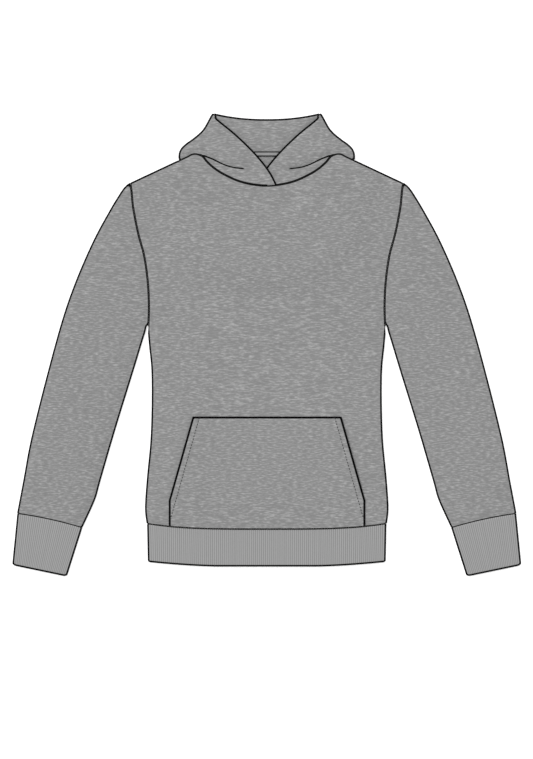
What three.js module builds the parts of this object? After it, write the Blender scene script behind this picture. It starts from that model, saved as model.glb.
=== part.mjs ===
// A pullover hoodie in fleece, laid flat on its back with the hood folded down behind it.
// Millimetres. X runs across the chest, Y from the hem up to the hood, Z up from the surface.
// The wearer's left is at +X. Each sewn piece is one closed solid of cloth.

import * as THREE from 'three';

// Cloth

const fleece = 2.3;
const ribKnit = 2.6;
const tapeCloth = 1.0;
const seamGap = 0.4;
const layerGap = 0.3;
const edgeRound = 0.7;

// Body

const hemSeamHalf = 196.4;
const hemSeamSideY = -293.5;
const hemSeamDip = 10.9;
const hemBottomY = -364.7;
const hemBottomHalf = 194.0;
const hemBottomFlatHalf = 100;
const hemBottomRise = 8.3;
const bodyLoft = 3.2;

// The side of the body from the hem seam up to the underarm
const sideSeam = [
  { x: 196.4, y: -293.5 },
  { x: 199.0, y: -275.0 },
  { x: 198.6, y: -254.0 },
  { x: 195.6, y: -215.0 },
  { x: 190.2, y: -158.0 },
  { x: 188.2, y: -100.0 },
  { x: 188.6, y: -42.0 },
  { x: 192.6, y: 0.0 },
  { x: 195.3, y: 32.2 },
];

// The armhole from the underarm up to the shoulder's tip
const armhole = [
  { x: 195.3, y: 32.2 },
  { x: 194.3, y: 65.0 },
  { x: 196.4, y: 106.4 },
  { x: 202.4, y: 148.0 },
  { x: 212.0, y: 184.0 },
  { x: 219.5, y: 221.9 },
  { x: 223.4, y: 250.0 },
  { x: 222.8, y: 264.8 },
];

// The front neckline from the shoulder's neck end down to the centre
const frontNeck = [
  { x: 113.0, y: 315.6 },
  { x: 104.1, y: 308.6 },
  { x: 89.9, y: 294.5 },
  { x: 70.1, y: 281.3 },
  { x: 37.5, y: 268.1 },
  { x: 0.0, y: 261.5 },
];
const backNeckCentreY = 313.8;
const backNeckRise = 1.8;

// Sleeves

const sleeveEdgeHeight = 5.0;
// How fast the armhole's curve fades down the sleeve
const bowFade = 5;
const sleeveOuter = [
  { x: 223.6, y: 265.4 },
  { x: 230.6, y: 261.5 },
  { x: 240.5, y: 249.5 },
  { x: 257.4, y: 221.9 },
  { x: 284.2, y: 172.4 },
  { x: 313.1, y: 106.4 },
  { x: 336.2, y: 40.4 },
  { x: 363.4, y: -58.6 },
  { x: 387.8, y: -157.6 },
  { x: 400.1, y: -223.6 },
  { x: 409.4, y: -278.5 },
];
const sleeveInner = [
  { x: 195.8, y: 32.2 },
  { x: 200.9, y: 23.9 },
  { x: 221.1, y: -42.1 },
  { x: 251.6, y: -141.1 },
  { x: 275.6, y: -223.6 },
  { x: 284.6, y: -255.0 },
  { x: 305.1, y: -300.6 },
];
// How far down each edge a section starts, and how much its middle stands up
const sleeveSections = [
  { outer: 0.0, inner: 0.0, crown: 0.1 },
  { outer: 0.04, inner: 0.012, crown: 0.4 },
  { outer: 0.1, inner: 0.03, crown: 0.9 },
  { outer: 0.19, inner: 0.06, crown: 1.4 },
  { outer: 0.28, inner: 0.1, crown: 1.8 },
  { outer: 0.37, inner: 0.15, crown: 2.1 },
  { outer: 0.46, inner: 0.22, crown: 2.3 },
  { outer: 0.55, inner: 0.32, crown: 2.4 },
  { outer: 0.64, inner: 0.43, crown: 2.4 },
  { outer: 0.73, inner: 0.55, crown: 2.3 },
  { outer: 0.82, inner: 0.68, crown: 2.2 },
  { outer: 0.9, inner: 0.81, crown: 2.0 },
  { outer: 0.96, inner: 0.92, crown: 1.8 },
  { outer: 1.0, inner: 1.0, crown: 1.3 },
];

// Ribbed cuffs and hem band

const ribPitch = 3.4;
const ribHeight = 0.5;
const ribGroove = 0.44;
const ribEdgeHeight = 5.8;
const cuffCrown = 0.7;
const bandCrown = 1.9;
const cuffSeam = { outer: { x: 409.4, y: -278.9 }, inner: { x: 305.3, y: -301.0 }, bow: -1.2 };
const cuffOpening = { outer: { x: 417.4, y: -363.0 }, inner: { x: 329.6, y: -381.5 }, bow: -1.0 };
// Rows down a ribbed piece: how far along it, and how far its face drops there
const ribRows = [
  { along: 0.0, drop: 0.7 },
  { along: 0.04, drop: 0.0 },
  { along: 0.97, drop: 0.0 },
  { along: 1.0, drop: 0.9 },
];

// Pocket

const pocketTopY = -119.8;
const pocketTopHalf = 122.0;
const pocketBottomHalf = 161.0;
const pocketCornerY = -256.6;
// How far its open sides stand off the front
const pocketSlack = 1.0;

// Hood

// The hood's outline from the shoulder up to its peak
const hoodSide = [
  { x: 142.7, y: 304.4 },
  { x: 143.6, y: 313.0 },
  { x: 141.6, y: 321.6 },
  { x: 128.6, y: 334.1 },
  { x: 111.4, y: 347.3 },
  { x: 100.2, y: 360.5 },
  { x: 94.0, y: 372.5 },
  { x: 89.6, y: 380.6 },
];
// The opening's edge from the neck seam on the far side up to the peak
const hoodEdge = [
  { x: -16.2, y: 263.6 },
  { x: -8.6, y: 278.0 },
  { x: 1.0, y: 291.4 },
  { x: 19.0, y: 314.4 },
  { x: 45.4, y: 340.7 },
  { x: 67.7, y: 360.5 },
  { x: 78.4, y: 370.0 },
  { x: 82.6, y: 378.0 },
];
const hoodPeak = { x: 86.6, y: 381.5 };
const rollCentreY = 370.5;
const rollRise = 8.6;
const rollHalf = 80;
const rollReach = 4.6;
const hoodWrapReach = 6.0;
const standHalf = 107;
const tapeHalf = 88;
const tapeWidth = 8.0;
const pouchLift = 5.2;
const pouchSteps = 30;
// Levels up the hidden layers' edge
const pouchRings = [
  { inset: 1.1, z: 0.0 },
  { inset: 0.0, z: 1.15 },
  { inset: 0.9, z: 2.3 },
  { inset: 0.0, z: 3.45 },
  { inset: 1.1, z: 4.6 },
];
const pouchSpread = 10;
const pouchFade = 55;
// The folded hood's hidden part, from the middle of the roll round to the lowest point
const pouchOutline = [
  { x: 0, y: 367.0 },
  { x: 40, y: 369.2 },
  { x: 78, y: 375.2 },
  { x: 85.5, y: 375.5 },
  { x: 96.0, y: 360.0 },
  { x: 108.0, y: 345.2 },
  { x: 125.0, y: 332.0 },
  { x: 137.4, y: 320.4 },
  { x: 139.2, y: 311.0 },
  { x: 138.6, y: 300.0 },
  { x: 135.0, y: 265.0 },
  { x: 122.0, y: 215.0 },
  { x: 98.0, y: 170.0 },
  { x: 55.0, y: 140.5 },
  { x: 0, y: 132.0 },
];

// Colours

const fleeceGrey = new THREE.Color('#959595');
const ribGrey = new THREE.Color('#9b9b9b');
const tapeGrey = new THREE.Color('#979797');

// Numbers and curves

const arcSteps = 4;

const mix = THREE.MathUtils.lerp;
const smooth = THREE.MathUtils.smoothstep;

function plan(point) {
  return new THREE.Vector2(point.x, point.y);
}

// Evenly spaced points on a smooth curve through a table's rows
function sampled(table, steps) {
  return new THREE.SplineCurve(table.map(plan)).getSpacedPoints(steps);
}

function alongTable(table) {
  const curve = new THREE.SplineCurve(table.map(plan));
  curve.arcLengthDivisions = 400;
  return (fraction) => curve.getPointAt(THREE.MathUtils.clamp(fraction, 0, 1));
}

// A point at a fraction of a list of evenly spaced points
function alongPoints(points, fraction) {
  const place = THREE.MathUtils.clamp(fraction, 0, 1) * (points.length - 1);
  const before = Math.min(Math.floor(place), points.length - 2);
  return points[before].clone().lerp(points[before + 1], place - before);
}

function mirrored(points) {
  return points.map((point) => new THREE.Vector2(-point.x, point.y));
}

// Moves an open line sideways, to its left for a positive distance
function shifted(points, distance) {
  return points.map((point, index) => {
    const before = points[Math.max(index - 1, 0)];
    const after = points[Math.min(index + 1, points.length - 1)];
    const along = after.clone().sub(before).normalize();
    return new THREE.Vector2(point.x - along.y * distance, point.y + along.x * distance);
  });
}

function hemSeamY(x) {
  const across = x / hemSeamHalf;
  return hemSeamSideY - hemSeamDip * (1 - across * across);
}

function hemBottomAt(x) {
  const past = Math.max(Math.abs(x) - hemBottomFlatHalf, 0) / (hemBottomHalf - hemBottomFlatHalf);
  return hemBottomY + hemBottomRise * past ** 1.6;
}

function backNeckY(x) {
  const across = x / frontNeck[0].x;
  return backNeckCentreY + backNeckRise * across * across;
}

// Heights

const pouchCurve = sampled(pouchOutline, 60);

function distanceToPouch(x, y) {
  const sideX = Math.abs(x);
  let nearest = Infinity;
  let inside = false;
  for (let index = 0; index < pouchCurve.length - 1; index += 1) {
    const from = pouchCurve[index];
    const to = pouchCurve[index + 1];
    const run = to.clone().sub(from);
    const offset = new THREE.Vector2(sideX, y).sub(from);
    const share = THREE.MathUtils.clamp(offset.dot(run) / run.lengthSq(), 0, 1);
    nearest = Math.min(nearest, offset.sub(run.multiplyScalar(share)).length());
    if ((from.y > y) !== (to.y > y)) {
      const crossing = from.x + ((y - from.y) / (to.y - from.y)) * (to.x - from.x);
      inside = inside !== sideX < crossing;
    }
  }
  return inside ? -nearest : nearest;
}

// How far the folded hood lifts the back off the surface
function liftAt(x, y) {
  return pouchLift * (1 - smooth(distanceToPouch(x, y), pouchSpread, pouchSpread + pouchFade));
}

function loftAt(x, y) {
  const side = Math.min(Math.abs(x) / hemSeamHalf, 1);
  const acrossShare = 1 - side ** 4;
  const hemShare = mix(0.6, 1, smooth(y, hemSeamSideY, hemSeamSideY + 60));
  const neckShare = 1 - smooth(y, 120, 250);
  return bodyLoft * acrossShare * hemShare * neckShare;
}

function backMiddle(x, y) {
  return liftAt(x, y) + fleece / 2;
}

function frontMiddle(x, y) {
  return backMiddle(x, y) + fleece + layerGap + loftAt(x, y);
}

// Solids

class Solid {
  constructor(name, color, flipped = false) {
    this.name = name;
    this.color = color;
    this.flipped = flipped;
    this.points = [];
    this.faces = [];
  }

  add(point) {
    this.points.push(point);
    return this.points.length - 1;
  }

  triangle(a, b, c) {
    this.faces.push(...(this.flipped ? [a, c, b] : [a, b, c]));
  }

  quad(a, b, c, d) {
    this.triangle(a, b, c);
    this.triangle(a, c, d);
  }

  mesh() {
    const geometry = new THREE.BufferGeometry();
    const numbers = this.points.flatMap((point) => [point.x, point.y, point.z]);
    geometry.setAttribute('position', new THREE.Float32BufferAttribute(numbers, 3));
    geometry.setIndex(this.faces);
    geometry.computeVertexNormals();
    const material = new THREE.MeshStandardMaterial({
      color: this.color,
      roughness: 0.95,
      metalness: 0,
    });
    const mesh = new THREE.Mesh(geometry, material);
    mesh.name = this.name;
    return mesh;
  }
}

// A patch between four lines of points: rows run upwards, columns to the right
function patch(bottom, top, left, right) {
  const columns = bottom.length - 1;
  const rows = left.length - 1;
  return left.map((leftPoint, row) => bottom.map((bottomPoint, column) => {
    const u = column / columns;
    const v = row / rows;
    const point = bottomPoint.clone().multiplyScalar(1 - v);
    point.addScaledVector(top[column], v);
    point.addScaledVector(leftPoint, 1 - u);
    point.addScaledVector(right[row], u);
    point.addScaledVector(bottom[0], -(1 - u) * (1 - v));
    point.addScaledVector(bottom[columns], -u * (1 - v));
    point.addScaledVector(top[0], -(1 - u) * v);
    point.addScaledVector(top[columns], -u * v);
    return point;
  }));
}

function raised(grid, heightAt) {
  return grid.map((row) => row.map(({ x, y }) => new THREE.Vector3(x, y, heightAt(x, y))));
}

function normalAt(grid, row, column) {
  const line = grid[row];
  const [left, right] = [Math.max(column - 1, 0), Math.min(column + 1, line.length - 1)];
  const [lower, upper] = [Math.max(row - 1, 0), Math.min(row + 1, grid.length - 1)];
  const along = line[right].clone().sub(line[left]);
  const up = grid[upper][column].clone().sub(grid[lower][column]);
  return along.cross(up).normalize();
}

// A sheet of cloth around a grid of points on its middle, with rounded edges
function sheetSolid(name, color, grid, thickness, flipped = false) {
  const solid = new Solid(name, color, flipped);
  const lastRow = grid.length - 1;
  const lastColumn = grid[0].length - 1;
  const tops = [];
  const bottoms = [];
  grid.forEach((line, row) => {
    tops.push([]);
    bottoms.push([]);
    line.forEach((point, column) => {
      const normal = normalAt(grid, row, column).multiplyScalar(flipped ? -1 : 1);
      const inRow = THREE.MathUtils.clamp(row, 1, lastRow - 1);
      const inColumn = THREE.MathUtils.clamp(column, 1, lastColumn - 1);
      const inwards = grid[inRow][inColumn].clone().sub(point);
      const step = Math.min(edgeRound, inwards.length() / 3);
      const base = point.clone().addScaledVector(inwards.normalize(), step);
      tops[row].push(solid.add(base.clone().addScaledVector(normal, thickness / 2)));
      bottoms[row].push(solid.add(base.clone().addScaledVector(normal, -thickness / 2)));
    });
  });
  for (let row = 0; row < lastRow; row += 1) {
    for (let column = 0; column < lastColumn; column += 1) {
      const corners = [[row, column], [row, column + 1], [row + 1, column + 1], [row + 1, column]];
      solid.quad(...corners.map(([at, across]) => tops[at][across]));
      solid.quad(...corners.map(([at, across]) => bottoms[at][across]).reverse());
    }
  }
  const border = [];
  for (let column = 0; column < lastColumn; column += 1) border.push([0, column]);
  for (let row = 0; row < lastRow; row += 1) border.push([row, lastColumn]);
  for (let column = lastColumn; column > 0; column -= 1) border.push([lastRow, column]);
  for (let row = lastRow; row > 0; row -= 1) border.push([row, 0]);
  const edge = border.map(([row, column]) => solid.add(grid[row][column].clone()));
  border.forEach(([row, column], index) => {
    const next = (index + 1) % border.length;
    const [nextRow, nextColumn] = border[next];
    solid.quad(edge[index], edge[next], tops[nextRow][nextColumn], tops[row][column]);
    solid.quad(bottoms[row][column], bottoms[nextRow][nextColumn], edge[next], edge[index]);
  });
  return solid.mesh();
}

// The outline of a flattened tube, as distances across it and heights, from one edge round to it again.
// The turn counts its four stretches: underside, far edge, top, near edge.
function flatSection({ width, wall, height, crown, drop, topSteps, underSteps, ribs }) {
  const radius = height / 2 - wall;
  const near = height / 2;
  const span = width - height;
  const dropped = (height - drop) / height;
  const points = [];
  for (let step = 0; step < underSteps; step += 1) {
    const share = step / underSteps;
    points.push({ turn: share, across: near + span * share, z: wall });
  }
  for (let step = 0; step < arcSteps; step += 1) {
    const share = step / arcSteps;
    const across = near + span + radius * Math.sin(Math.PI * share);
    points.push({ turn: 1 + share, across, z: (near - radius * Math.cos(Math.PI * share)) * dropped });
  }
  topShares(topSteps, ribs).forEach(({ share, rise }) => {
    const bulge = crown * (1 - (2 * share - 1) ** 4);
    const across = near + span * (1 - share);
    points.push({ turn: 2 + share, across, z: (height - wall) * dropped + bulge + rise });
  });
  for (let step = 0; step < arcSteps; step += 1) {
    const share = step / arcSteps;
    const across = near - radius * Math.sin(Math.PI * share);
    points.push({ turn: 3 + share, across, z: (near + radius * Math.cos(Math.PI * share)) * dropped });
  }
  return points;
}

// Places along a section's top, plain or with a flat-topped rib at each pitch
function topShares(steps, ribs) {
  if (!ribs) return Array.from({ length: steps }, (unused, step) => ({ share: step / steps, rise: 0 }));
  return Array.from({ length: ribs }, (unused, rib) => [
    { share: rib / ribs, rise: 0 },
    { share: (rib + ribGroove / 2) / ribs, rise: ribHeight },
    { share: (rib + 1 - ribGroove / 2) / ribs, rise: ribHeight },
  ]).flat();
}

// Faces between two loops of different counts, matched by their turns
function bridge(solid, outside, inside, reversed) {
  let outer = 0;
  let inner = 0;
  const turnOf = (loop, index) => loop[index % loop.length].turn + (index >= loop.length ? 4 : 0);
  while (outer < outside.length || inner < inside.length) {
    const a = outside[outer % outside.length].index;
    const b = inside[inner % inside.length].index;
    const canOuter = outer < outside.length;
    const outerNext = canOuter ? turnOf(outside, outer + 1) : Infinity;
    const innerNext = inner < inside.length ? turnOf(inside, inner + 1) : Infinity;
    const stepOuter = outerNext <= innerNext;
    const next = stepOuter
      ? outside[(outer + 1) % outside.length].index
      : inside[(inner + 1) % inside.length].index;
    if (reversed) solid.triangle(a, b, next);
    else solid.triangle(a, next, b);
    if (stepOuter) outer += 1;
    else inner += 1;
  }
}

// A flattened tube of cloth through its stations, open at both ends
function tubeSolid(name, color, stations, wall, flipped) {
  const solid = new Solid(name, color, flipped);
  const loops = stations.map((station) => {
    const width = station.near.distanceTo(station.far);
    return [0, wall].map((inset) => {
      const shape = { ...station, width, wall: inset };
      if (inset > 0) Object.assign(shape, { ribs: 0, drop: 0 });
      return flatSection(shape).map((point) => {
        const share = point.across / width;
        const place = station.placeAt(share);
        return { turn: point.turn, index: solid.add(new THREE.Vector3(place.x, place.y, point.z)) };
      });
    });
  });
  for (let station = 0; station < loops.length - 1; station += 1) {
    [0, 1].forEach((side) => {
      const here = loops[station][side];
      const there = loops[station + 1][side];
      here.forEach((point, index) => {
        const next = (index + 1) % here.length;
        const ring = [point.index, here[next].index, there[next].index, there[index].index];
        if (side === 1) ring.reverse();
        solid.quad(...ring);
      });
    });
  }
  bridge(solid, loops[0][0], loops[0][1], true);
  bridge(solid, loops[loops.length - 1][0], loops[loops.length - 1][1], false);
  return solid.mesh();
}

// Front and back panels

const bodyColumns = { shoulder: 5, halfNeck: 6 };
const bodyRows = { side: 8, armhole: 8 };

const armholePoints = sampled(armhole, bodyRows.armhole);
const sidePoints = [...sampled(sideSeam, bodyRows.side), ...armholePoints.slice(1)];

function straight(from, to, steps) {
  return Array.from({ length: steps + 1 }, (unused, step) => from.clone().lerp(to, step / steps));
}

function shoulderPoints(steps) {
  return straight(plan(armhole[armhole.length - 1]), plan(frontNeck[0]), steps);
}

// The panel's upper line, from shoulder tip to shoulder tip through the neckline
function upperLine(neckPoints) {
  const half = [...shoulderPoints(bodyColumns.shoulder), ...neckPoints.slice(1)];
  return [...mirrored(half), ...half.slice(0, -1).reverse()];
}

function backNeckPoints(steps) {
  return Array.from({ length: steps + 1 }, (unused, step) => {
    const x = mix(frontNeck[0].x, 0, step / steps);
    return new THREE.Vector2(x, backNeckY(x));
  });
}

function bodyPanel(name, neckPoints, heightAt) {
  const half = seamGap / 2;
  const upper = upperLine(neckPoints);
  const columns = upper.length - 1;
  const lower = upper.map((unused, column) => {
    const x = mix(-hemSeamHalf, hemSeamHalf, column / columns);
    return new THREE.Vector2(x, hemSeamY(x));
  });
  const right = shifted(sidePoints, half);
  const bottom = shifted(lower, half);
  const top = shifted(upper, -half);
  right[0].y = bottom[columns].y;
  right[right.length - 1].y = top[columns].y;
  const left = mirrored(right);
  [bottom[0], top[0]] = [left[0], left[left.length - 1]];
  [bottom[columns], top[columns]] = [right[0], right[right.length - 1]];
  return sheetSolid(name, fleeceGrey, raised(patch(bottom, top, left, right), heightAt), fleece);
}

// Kangaroo pocket, on the front's own surface

function pocket() {
  const columns = 14;
  const cornerRows = 2;
  const slantRows = 6;
  const half = seamGap / 2;
  const bottom = Array.from({ length: columns + 1 }, (unused, column) => {
    const x = mix(-pocketBottomHalf, pocketBottomHalf, column / columns);
    return new THREE.Vector2(x, hemSeamY(x) + half);
  });
  const top = bottom.map((unused, column) => (
    new THREE.Vector2(mix(-pocketTopHalf, pocketTopHalf, column / columns), pocketTopY)
  ));
  const foot = bottom[columns];
  const corner = new THREE.Vector2(pocketBottomHalf, pocketCornerY);
  const right = [foot.clone()];
  right.push(...straight(foot, corner, cornerRows).slice(1));
  right.push(...straight(corner, top[columns], slantRows).slice(1));
  const lifted = (x, y) => {
    const sideShare = smooth(Math.abs(x), 80, 130);
    const aboveCorner = smooth(y, pocketCornerY - 10, pocketCornerY + 30);
    const belowTop = 1 - smooth(y, pocketTopY - 40, pocketTopY - 5);
    return frontMiddle(x, y) + fleece + layerGap + pocketSlack * sideShare * aboveCorner * belowTop;
  };
  const grid = raised(patch(bottom, top, mirrored(right), right), lifted);
  return sheetSolid('pocket', fleeceGrey, grid, fleece);
}

// Sleeves

function sleeve(name, side) {
  const outerAt = alongTable(sleeveOuter);
  const innerAt = alongTable(sleeveInner);
  const seam = shifted(armholePoints, -seamGap / 2).reverse();
  const bowAt = (share) => alongPoints(seam, share).sub(seam[0].clone().lerp(seam[seam.length - 1], share));
  const stations = sleeveSections.map((section) => {
    const near = section.outer > 0 ? outerAt(section.outer) : seam[0];
    const far = section.inner > 0 ? innerAt(section.inner) : seam[seam.length - 1];
    const bowShare = (1 - section.outer) ** bowFade;
    const placeAt = (share) => {
      const place = near.clone().lerp(far, share).addScaledVector(bowAt(share), bowShare);
      return new THREE.Vector2(place.x * side, place.y);
    };
    return {
      near,
      far,
      placeAt,
      height: sleeveEdgeHeight,
      crown: section.crown,
      drop: 0,
      topSteps: bodyRows.armhole,
      underSteps: bodyRows.armhole,
      ribs: 0,
    };
  });
  return tubeSolid(name, fleeceGrey, stations, fleece, side > 0);
}

// Ribbed cuffs and hem band

function ribbedTube(name, topLine, bottomLine, crown, side) {
  const width = topLine(0).distanceTo(topLine(1));
  const ribs = Math.round((width - ribEdgeHeight) / ribPitch);
  const stations = ribRows.map((row) => ({
    near: topLine(0).lerp(bottomLine(0), row.along),
    far: topLine(1).lerp(bottomLine(1), row.along),
    placeAt: (share) => {
      const place = topLine(share).lerp(bottomLine(share), row.along);
      return new THREE.Vector2(place.x * side, place.y);
    },
    height: ribEdgeHeight,
    crown,
    drop: row.drop,
    topSteps: 8,
    underSteps: 6,
    ribs,
  }));
  return tubeSolid(name, ribGrey, stations, ribKnit, side > 0);
}

function cuff(name, side) {
  const line = ({ outer, inner, bow }) => (share) => {
    const place = plan(outer).lerp(plan(inner), share);
    const out = new THREE.Vector2(inner.y - outer.y, outer.x - inner.x).normalize();
    return place.addScaledVector(out, bow * 4 * share * (1 - share));
  };
  return ribbedTube(name, line(cuffSeam), line(cuffOpening), cuffCrown, side);
}

function hemBand() {
  const seamLine = (share) => {
    const x = mix(hemSeamHalf, -hemSeamHalf, share);
    return new THREE.Vector2(x, hemSeamY(x) - seamGap / 2);
  };
  const foldLine = (share) => {
    const x = mix(hemBottomHalf, -hemBottomHalf, share);
    return new THREE.Vector2(x, hemBottomAt(x));
  };
  return ribbedTube('hem_band', seamLine, foldLine, bandCrown, 1);
}

// Hood

const layerStep = fleece + layerGap;
const standMiddle = pouchLift + fleece / 2;
const lapMiddle = standMiddle + layerStep + 0.15;
const wrapFoot = 2.4;
const tapeRaise = 1.15;
const overlapReach = 12;
const shoulderShare = 0.42;

function rollY(x) {
  const share = Math.min(Math.abs(x) / rollHalf, 1);
  return rollCentreY + rollRise * share ** 2.2;
}

const foldTurns = [Math.PI / 6, Math.PI / 3, Math.PI / 2];

// A point on the quarter turn that takes a sheet's middle from a flat point down at its outer line
function foldedDown(flatPoint, outerPoint, angle) {
  return new THREE.Vector3(
    mix(flatPoint.x, outerPoint.x, Math.sin(angle)),
    mix(flatPoint.y, outerPoint.y, Math.sin(angle)),
    mix(wrapFoot, flatPoint.z, Math.cos(angle)),
  );
}

// The hood's inner back, from the back neck seam up to the roll and over it
function hoodBack() {
  const columns = 12;
  const rows = 4;
  const shareOf = (column) => mix(-1, 1, column / columns);
  const bottom = [];
  const top = [];
  const outer = [];
  for (let column = 0; column <= columns; column += 1) {
    const share = shareOf(column);
    bottom.push(new THREE.Vector2(share * standHalf, backNeckY(share * standHalf) + seamGap / 2));
    top.push(new THREE.Vector2(share * rollHalf, rollY(share * rollHalf) - rollReach));
    outer.push(new THREE.Vector2(share * rollHalf, rollY(share * rollHalf) - fleece / 2));
  }
  const right = Array.from({ length: rows + 1 }, (unused, row) => (
    bottom[columns].clone().lerp(top[columns], row / rows)
  ));
  const grid = raised(patch(bottom, top, mirrored(right), right), () => standMiddle);
  const lastFlat = grid[rows];
  foldTurns.forEach((angle) => {
    grid.push(lastFlat.map((point, column) => foldedDown(point, outer[column], angle)));
  });
  return sheetSolid('hood_back', fleeceGrey, grid, fleece);
}

// Where the opening's edge lies at a height on the drawing's plane
function hoodEdgeX(y) {
  const above = hoodEdge.findIndex((row) => row.y > y);
  const upper = hoodEdge[above < 0 ? hoodEdge.length - 1 : Math.max(above, 1)];
  const lower = hoodEdge[above < 0 ? hoodEdge.length - 2 : Math.max(above, 1) - 1];
  return mix(lower.x, upper.x, (y - lower.y) / (upper.y - lower.y));
}

// Height of a hood side's middle: over the tape, and over the other side where the two cross
function hoodSideMiddle(x, y, overlapping) {
  const nearTape = smooth(y, 292, 307) * (1 - smooth(y, 321, 338));
  const overTape = nearTape * (1 - smooth(x, tapeHalf + 2, tapeHalf + 16));
  const fromOther = x + hoodEdgeX(y);
  const overOther = overlapping ? 1 - smooth(fromOther, overlapReach, 2 * overlapReach + 10) : 0;
  return lapMiddle + tapeRaise * overTape + layerStep * overOther;
}

// One side of the hood: up from the neck seam to the opening's edge, and outwards over its side fold
function hoodSidePiece(name, side, overlapping) {
  const rows = 12;
  const neckLine = sampled(frontNeck, bodyColumns.halfNeck);
  const shoulderEnd = plan(hoodSide[0]);
  const shoulderMiddle = shoulderEnd.clone().lerp(neckLine[0], shoulderShare);
  const seam = shifted([shoulderEnd, shoulderMiddle, ...neckLine, plan(hoodEdge[0])], -seamGap / 2);
  const silhouette = sampled(hoodSide, rows);
  const edge = sampled(hoodEdge, rows);
  seam[seam.length - 1] = edge[0].clone();
  const flatSide = silhouette.map((point, row) => {
    const reach = Math.min(hoodWrapReach, point.distanceTo(edge[row]) * 0.4);
    return point.clone().lerp(edge[row], reach / point.distanceTo(edge[row]));
  });
  const outer = shifted(silhouette, fleece / 2);
  const seamStart = seam[1].clone().sub(seam[0]).normalize();
  flatSide[0] = seam[0].clone().addScaledVector(seamStart, hoodWrapReach);
  outer[0] = seam[0].clone().addScaledVector(seamStart, fleece / 2);
  const bottom = [flatSide[0], ...seam.slice(1)];
  const peak = plan(hoodPeak);
  const top = bottom.map((unused, column) => {
    const share = column / (bottom.length - 1);
    return flatSide[rows].clone().lerp(edge[rows], share).lerp(peak, 4 * share * (1 - share));
  });
  const flat = raised(patch(bottom, top, flatSide, edge), (x, y) => hoodSideMiddle(x, y, overlapping));
  const grid = flat.map((line, row) => {
    const wrap = foldTurns.map((angle) => foldedDown(line[0], outer[row], angle)).reverse();
    return [...wrap, ...line].map((place) => new THREE.Vector3(place.x * side, place.y, place.z));
  });
  return sheetSolid(name, fleeceGrey, grid, fleece, side > 0);
}

// The folded hood's hidden layers, as one solid with a groove between them round its edge
function hoodPouch() {
  const half = sampled(pouchOutline, pouchSteps);
  const outline = [...half, ...mirrored(half.slice(1, -1)).reverse()];
  const solid = new Solid('hood_pouch', fleeceGrey);
  const rings = pouchRings.map(({ inset, z }) => {
    const line = outline.map((point, index) => {
      const before = outline[(index + outline.length - 1) % outline.length];
      const after = outline[(index + 1) % outline.length];
      const along = after.clone().sub(before).normalize();
      return new THREE.Vector2(point.x - along.y * inset * -1, point.y - along.x * inset);
    });
    return { line, indices: line.map((point) => solid.add(new THREE.Vector3(point.x, point.y, z))) };
  });
  for (let level = 0; level < rings.length - 1; level += 1) {
    outline.forEach((unused, index) => {
      const next = (index + 1) % outline.length;
      const [low, high] = [rings[level].indices, rings[level + 1].indices];
      solid.quad(low[next], low[index], high[index], high[next]);
    });
  }
  [rings[0], rings[rings.length - 1]].forEach(({ line, indices }, end) => {
    THREE.ShapeUtils.triangulateShape(line, []).forEach((corners) => {
      const [a, b, c] = corners.map((corner) => indices[corner]);
      const area = THREE.ShapeUtils.area(corners.map((corner) => line[corner]));
      const upwards = area > 0;
      if (upwards === (end === 1)) solid.triangle(a, b, c);
      else solid.triangle(a, c, b);
    });
  });
  return solid.mesh();
}

// The tape over the back neck seam
function neckTape() {
  const columns = 12;
  const middle = standMiddle + fleece / 2 + layerGap + tapeCloth / 2;
  const grid = [-1, 0, 1].map((row) => Array.from({ length: columns + 1 }, (unused, column) => {
    const x = mix(-tapeHalf, tapeHalf, column / columns);
    return new THREE.Vector3(x, backNeckY(x) + (row * tapeWidth) / 2, middle);
  }));
  return sheetSolid('neck_tape', tapeGrey, grid, tapeCloth);
}

// Assembly

function assembled(...meshes) {
  const group = new THREE.Group();
  group.add(...meshes);
  return group;
}

const frontNeckPoints = sampled(frontNeck, bodyColumns.halfNeck);
const hoodie = assembled(
  assembled(
    bodyPanel('front', frontNeckPoints, frontMiddle),
    bodyPanel('back', backNeckPoints(bodyColumns.halfNeck), backMiddle),
    pocket(),
    hemBand(),
  ),
  assembled(
    sleeve('sleeve_right', -1),
    sleeve('sleeve_left', 1),
    cuff('cuff_right', -1),
    cuff('cuff_left', 1),
  ),
  assembled(
    hoodBack(),
    hoodSidePiece('hood_right', -1, true),
    hoodSidePiece('hood_left', 1, false),
    hoodPouch(),
    neckTape(),
  ),
);
hoodie.name = 'pullover_hoodie';

export default hoodie;
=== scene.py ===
import math

import bpy
import numpy as np
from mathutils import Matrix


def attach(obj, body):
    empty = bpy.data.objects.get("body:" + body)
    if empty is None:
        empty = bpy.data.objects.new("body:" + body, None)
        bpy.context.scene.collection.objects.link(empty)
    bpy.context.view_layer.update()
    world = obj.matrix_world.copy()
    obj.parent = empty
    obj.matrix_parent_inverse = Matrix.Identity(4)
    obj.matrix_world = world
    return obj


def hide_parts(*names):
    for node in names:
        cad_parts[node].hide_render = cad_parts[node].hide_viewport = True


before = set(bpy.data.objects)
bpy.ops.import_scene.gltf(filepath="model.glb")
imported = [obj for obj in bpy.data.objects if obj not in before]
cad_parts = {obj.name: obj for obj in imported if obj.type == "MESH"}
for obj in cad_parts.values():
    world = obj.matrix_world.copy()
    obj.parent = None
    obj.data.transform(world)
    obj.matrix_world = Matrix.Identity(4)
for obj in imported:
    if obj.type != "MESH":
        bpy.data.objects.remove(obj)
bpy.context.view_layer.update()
print("frame loaded:", ", ".join(sorted(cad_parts)))

# Sizes are in millimetres in the frame's own axes, until a mesh is made.
mm = 0.001

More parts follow.
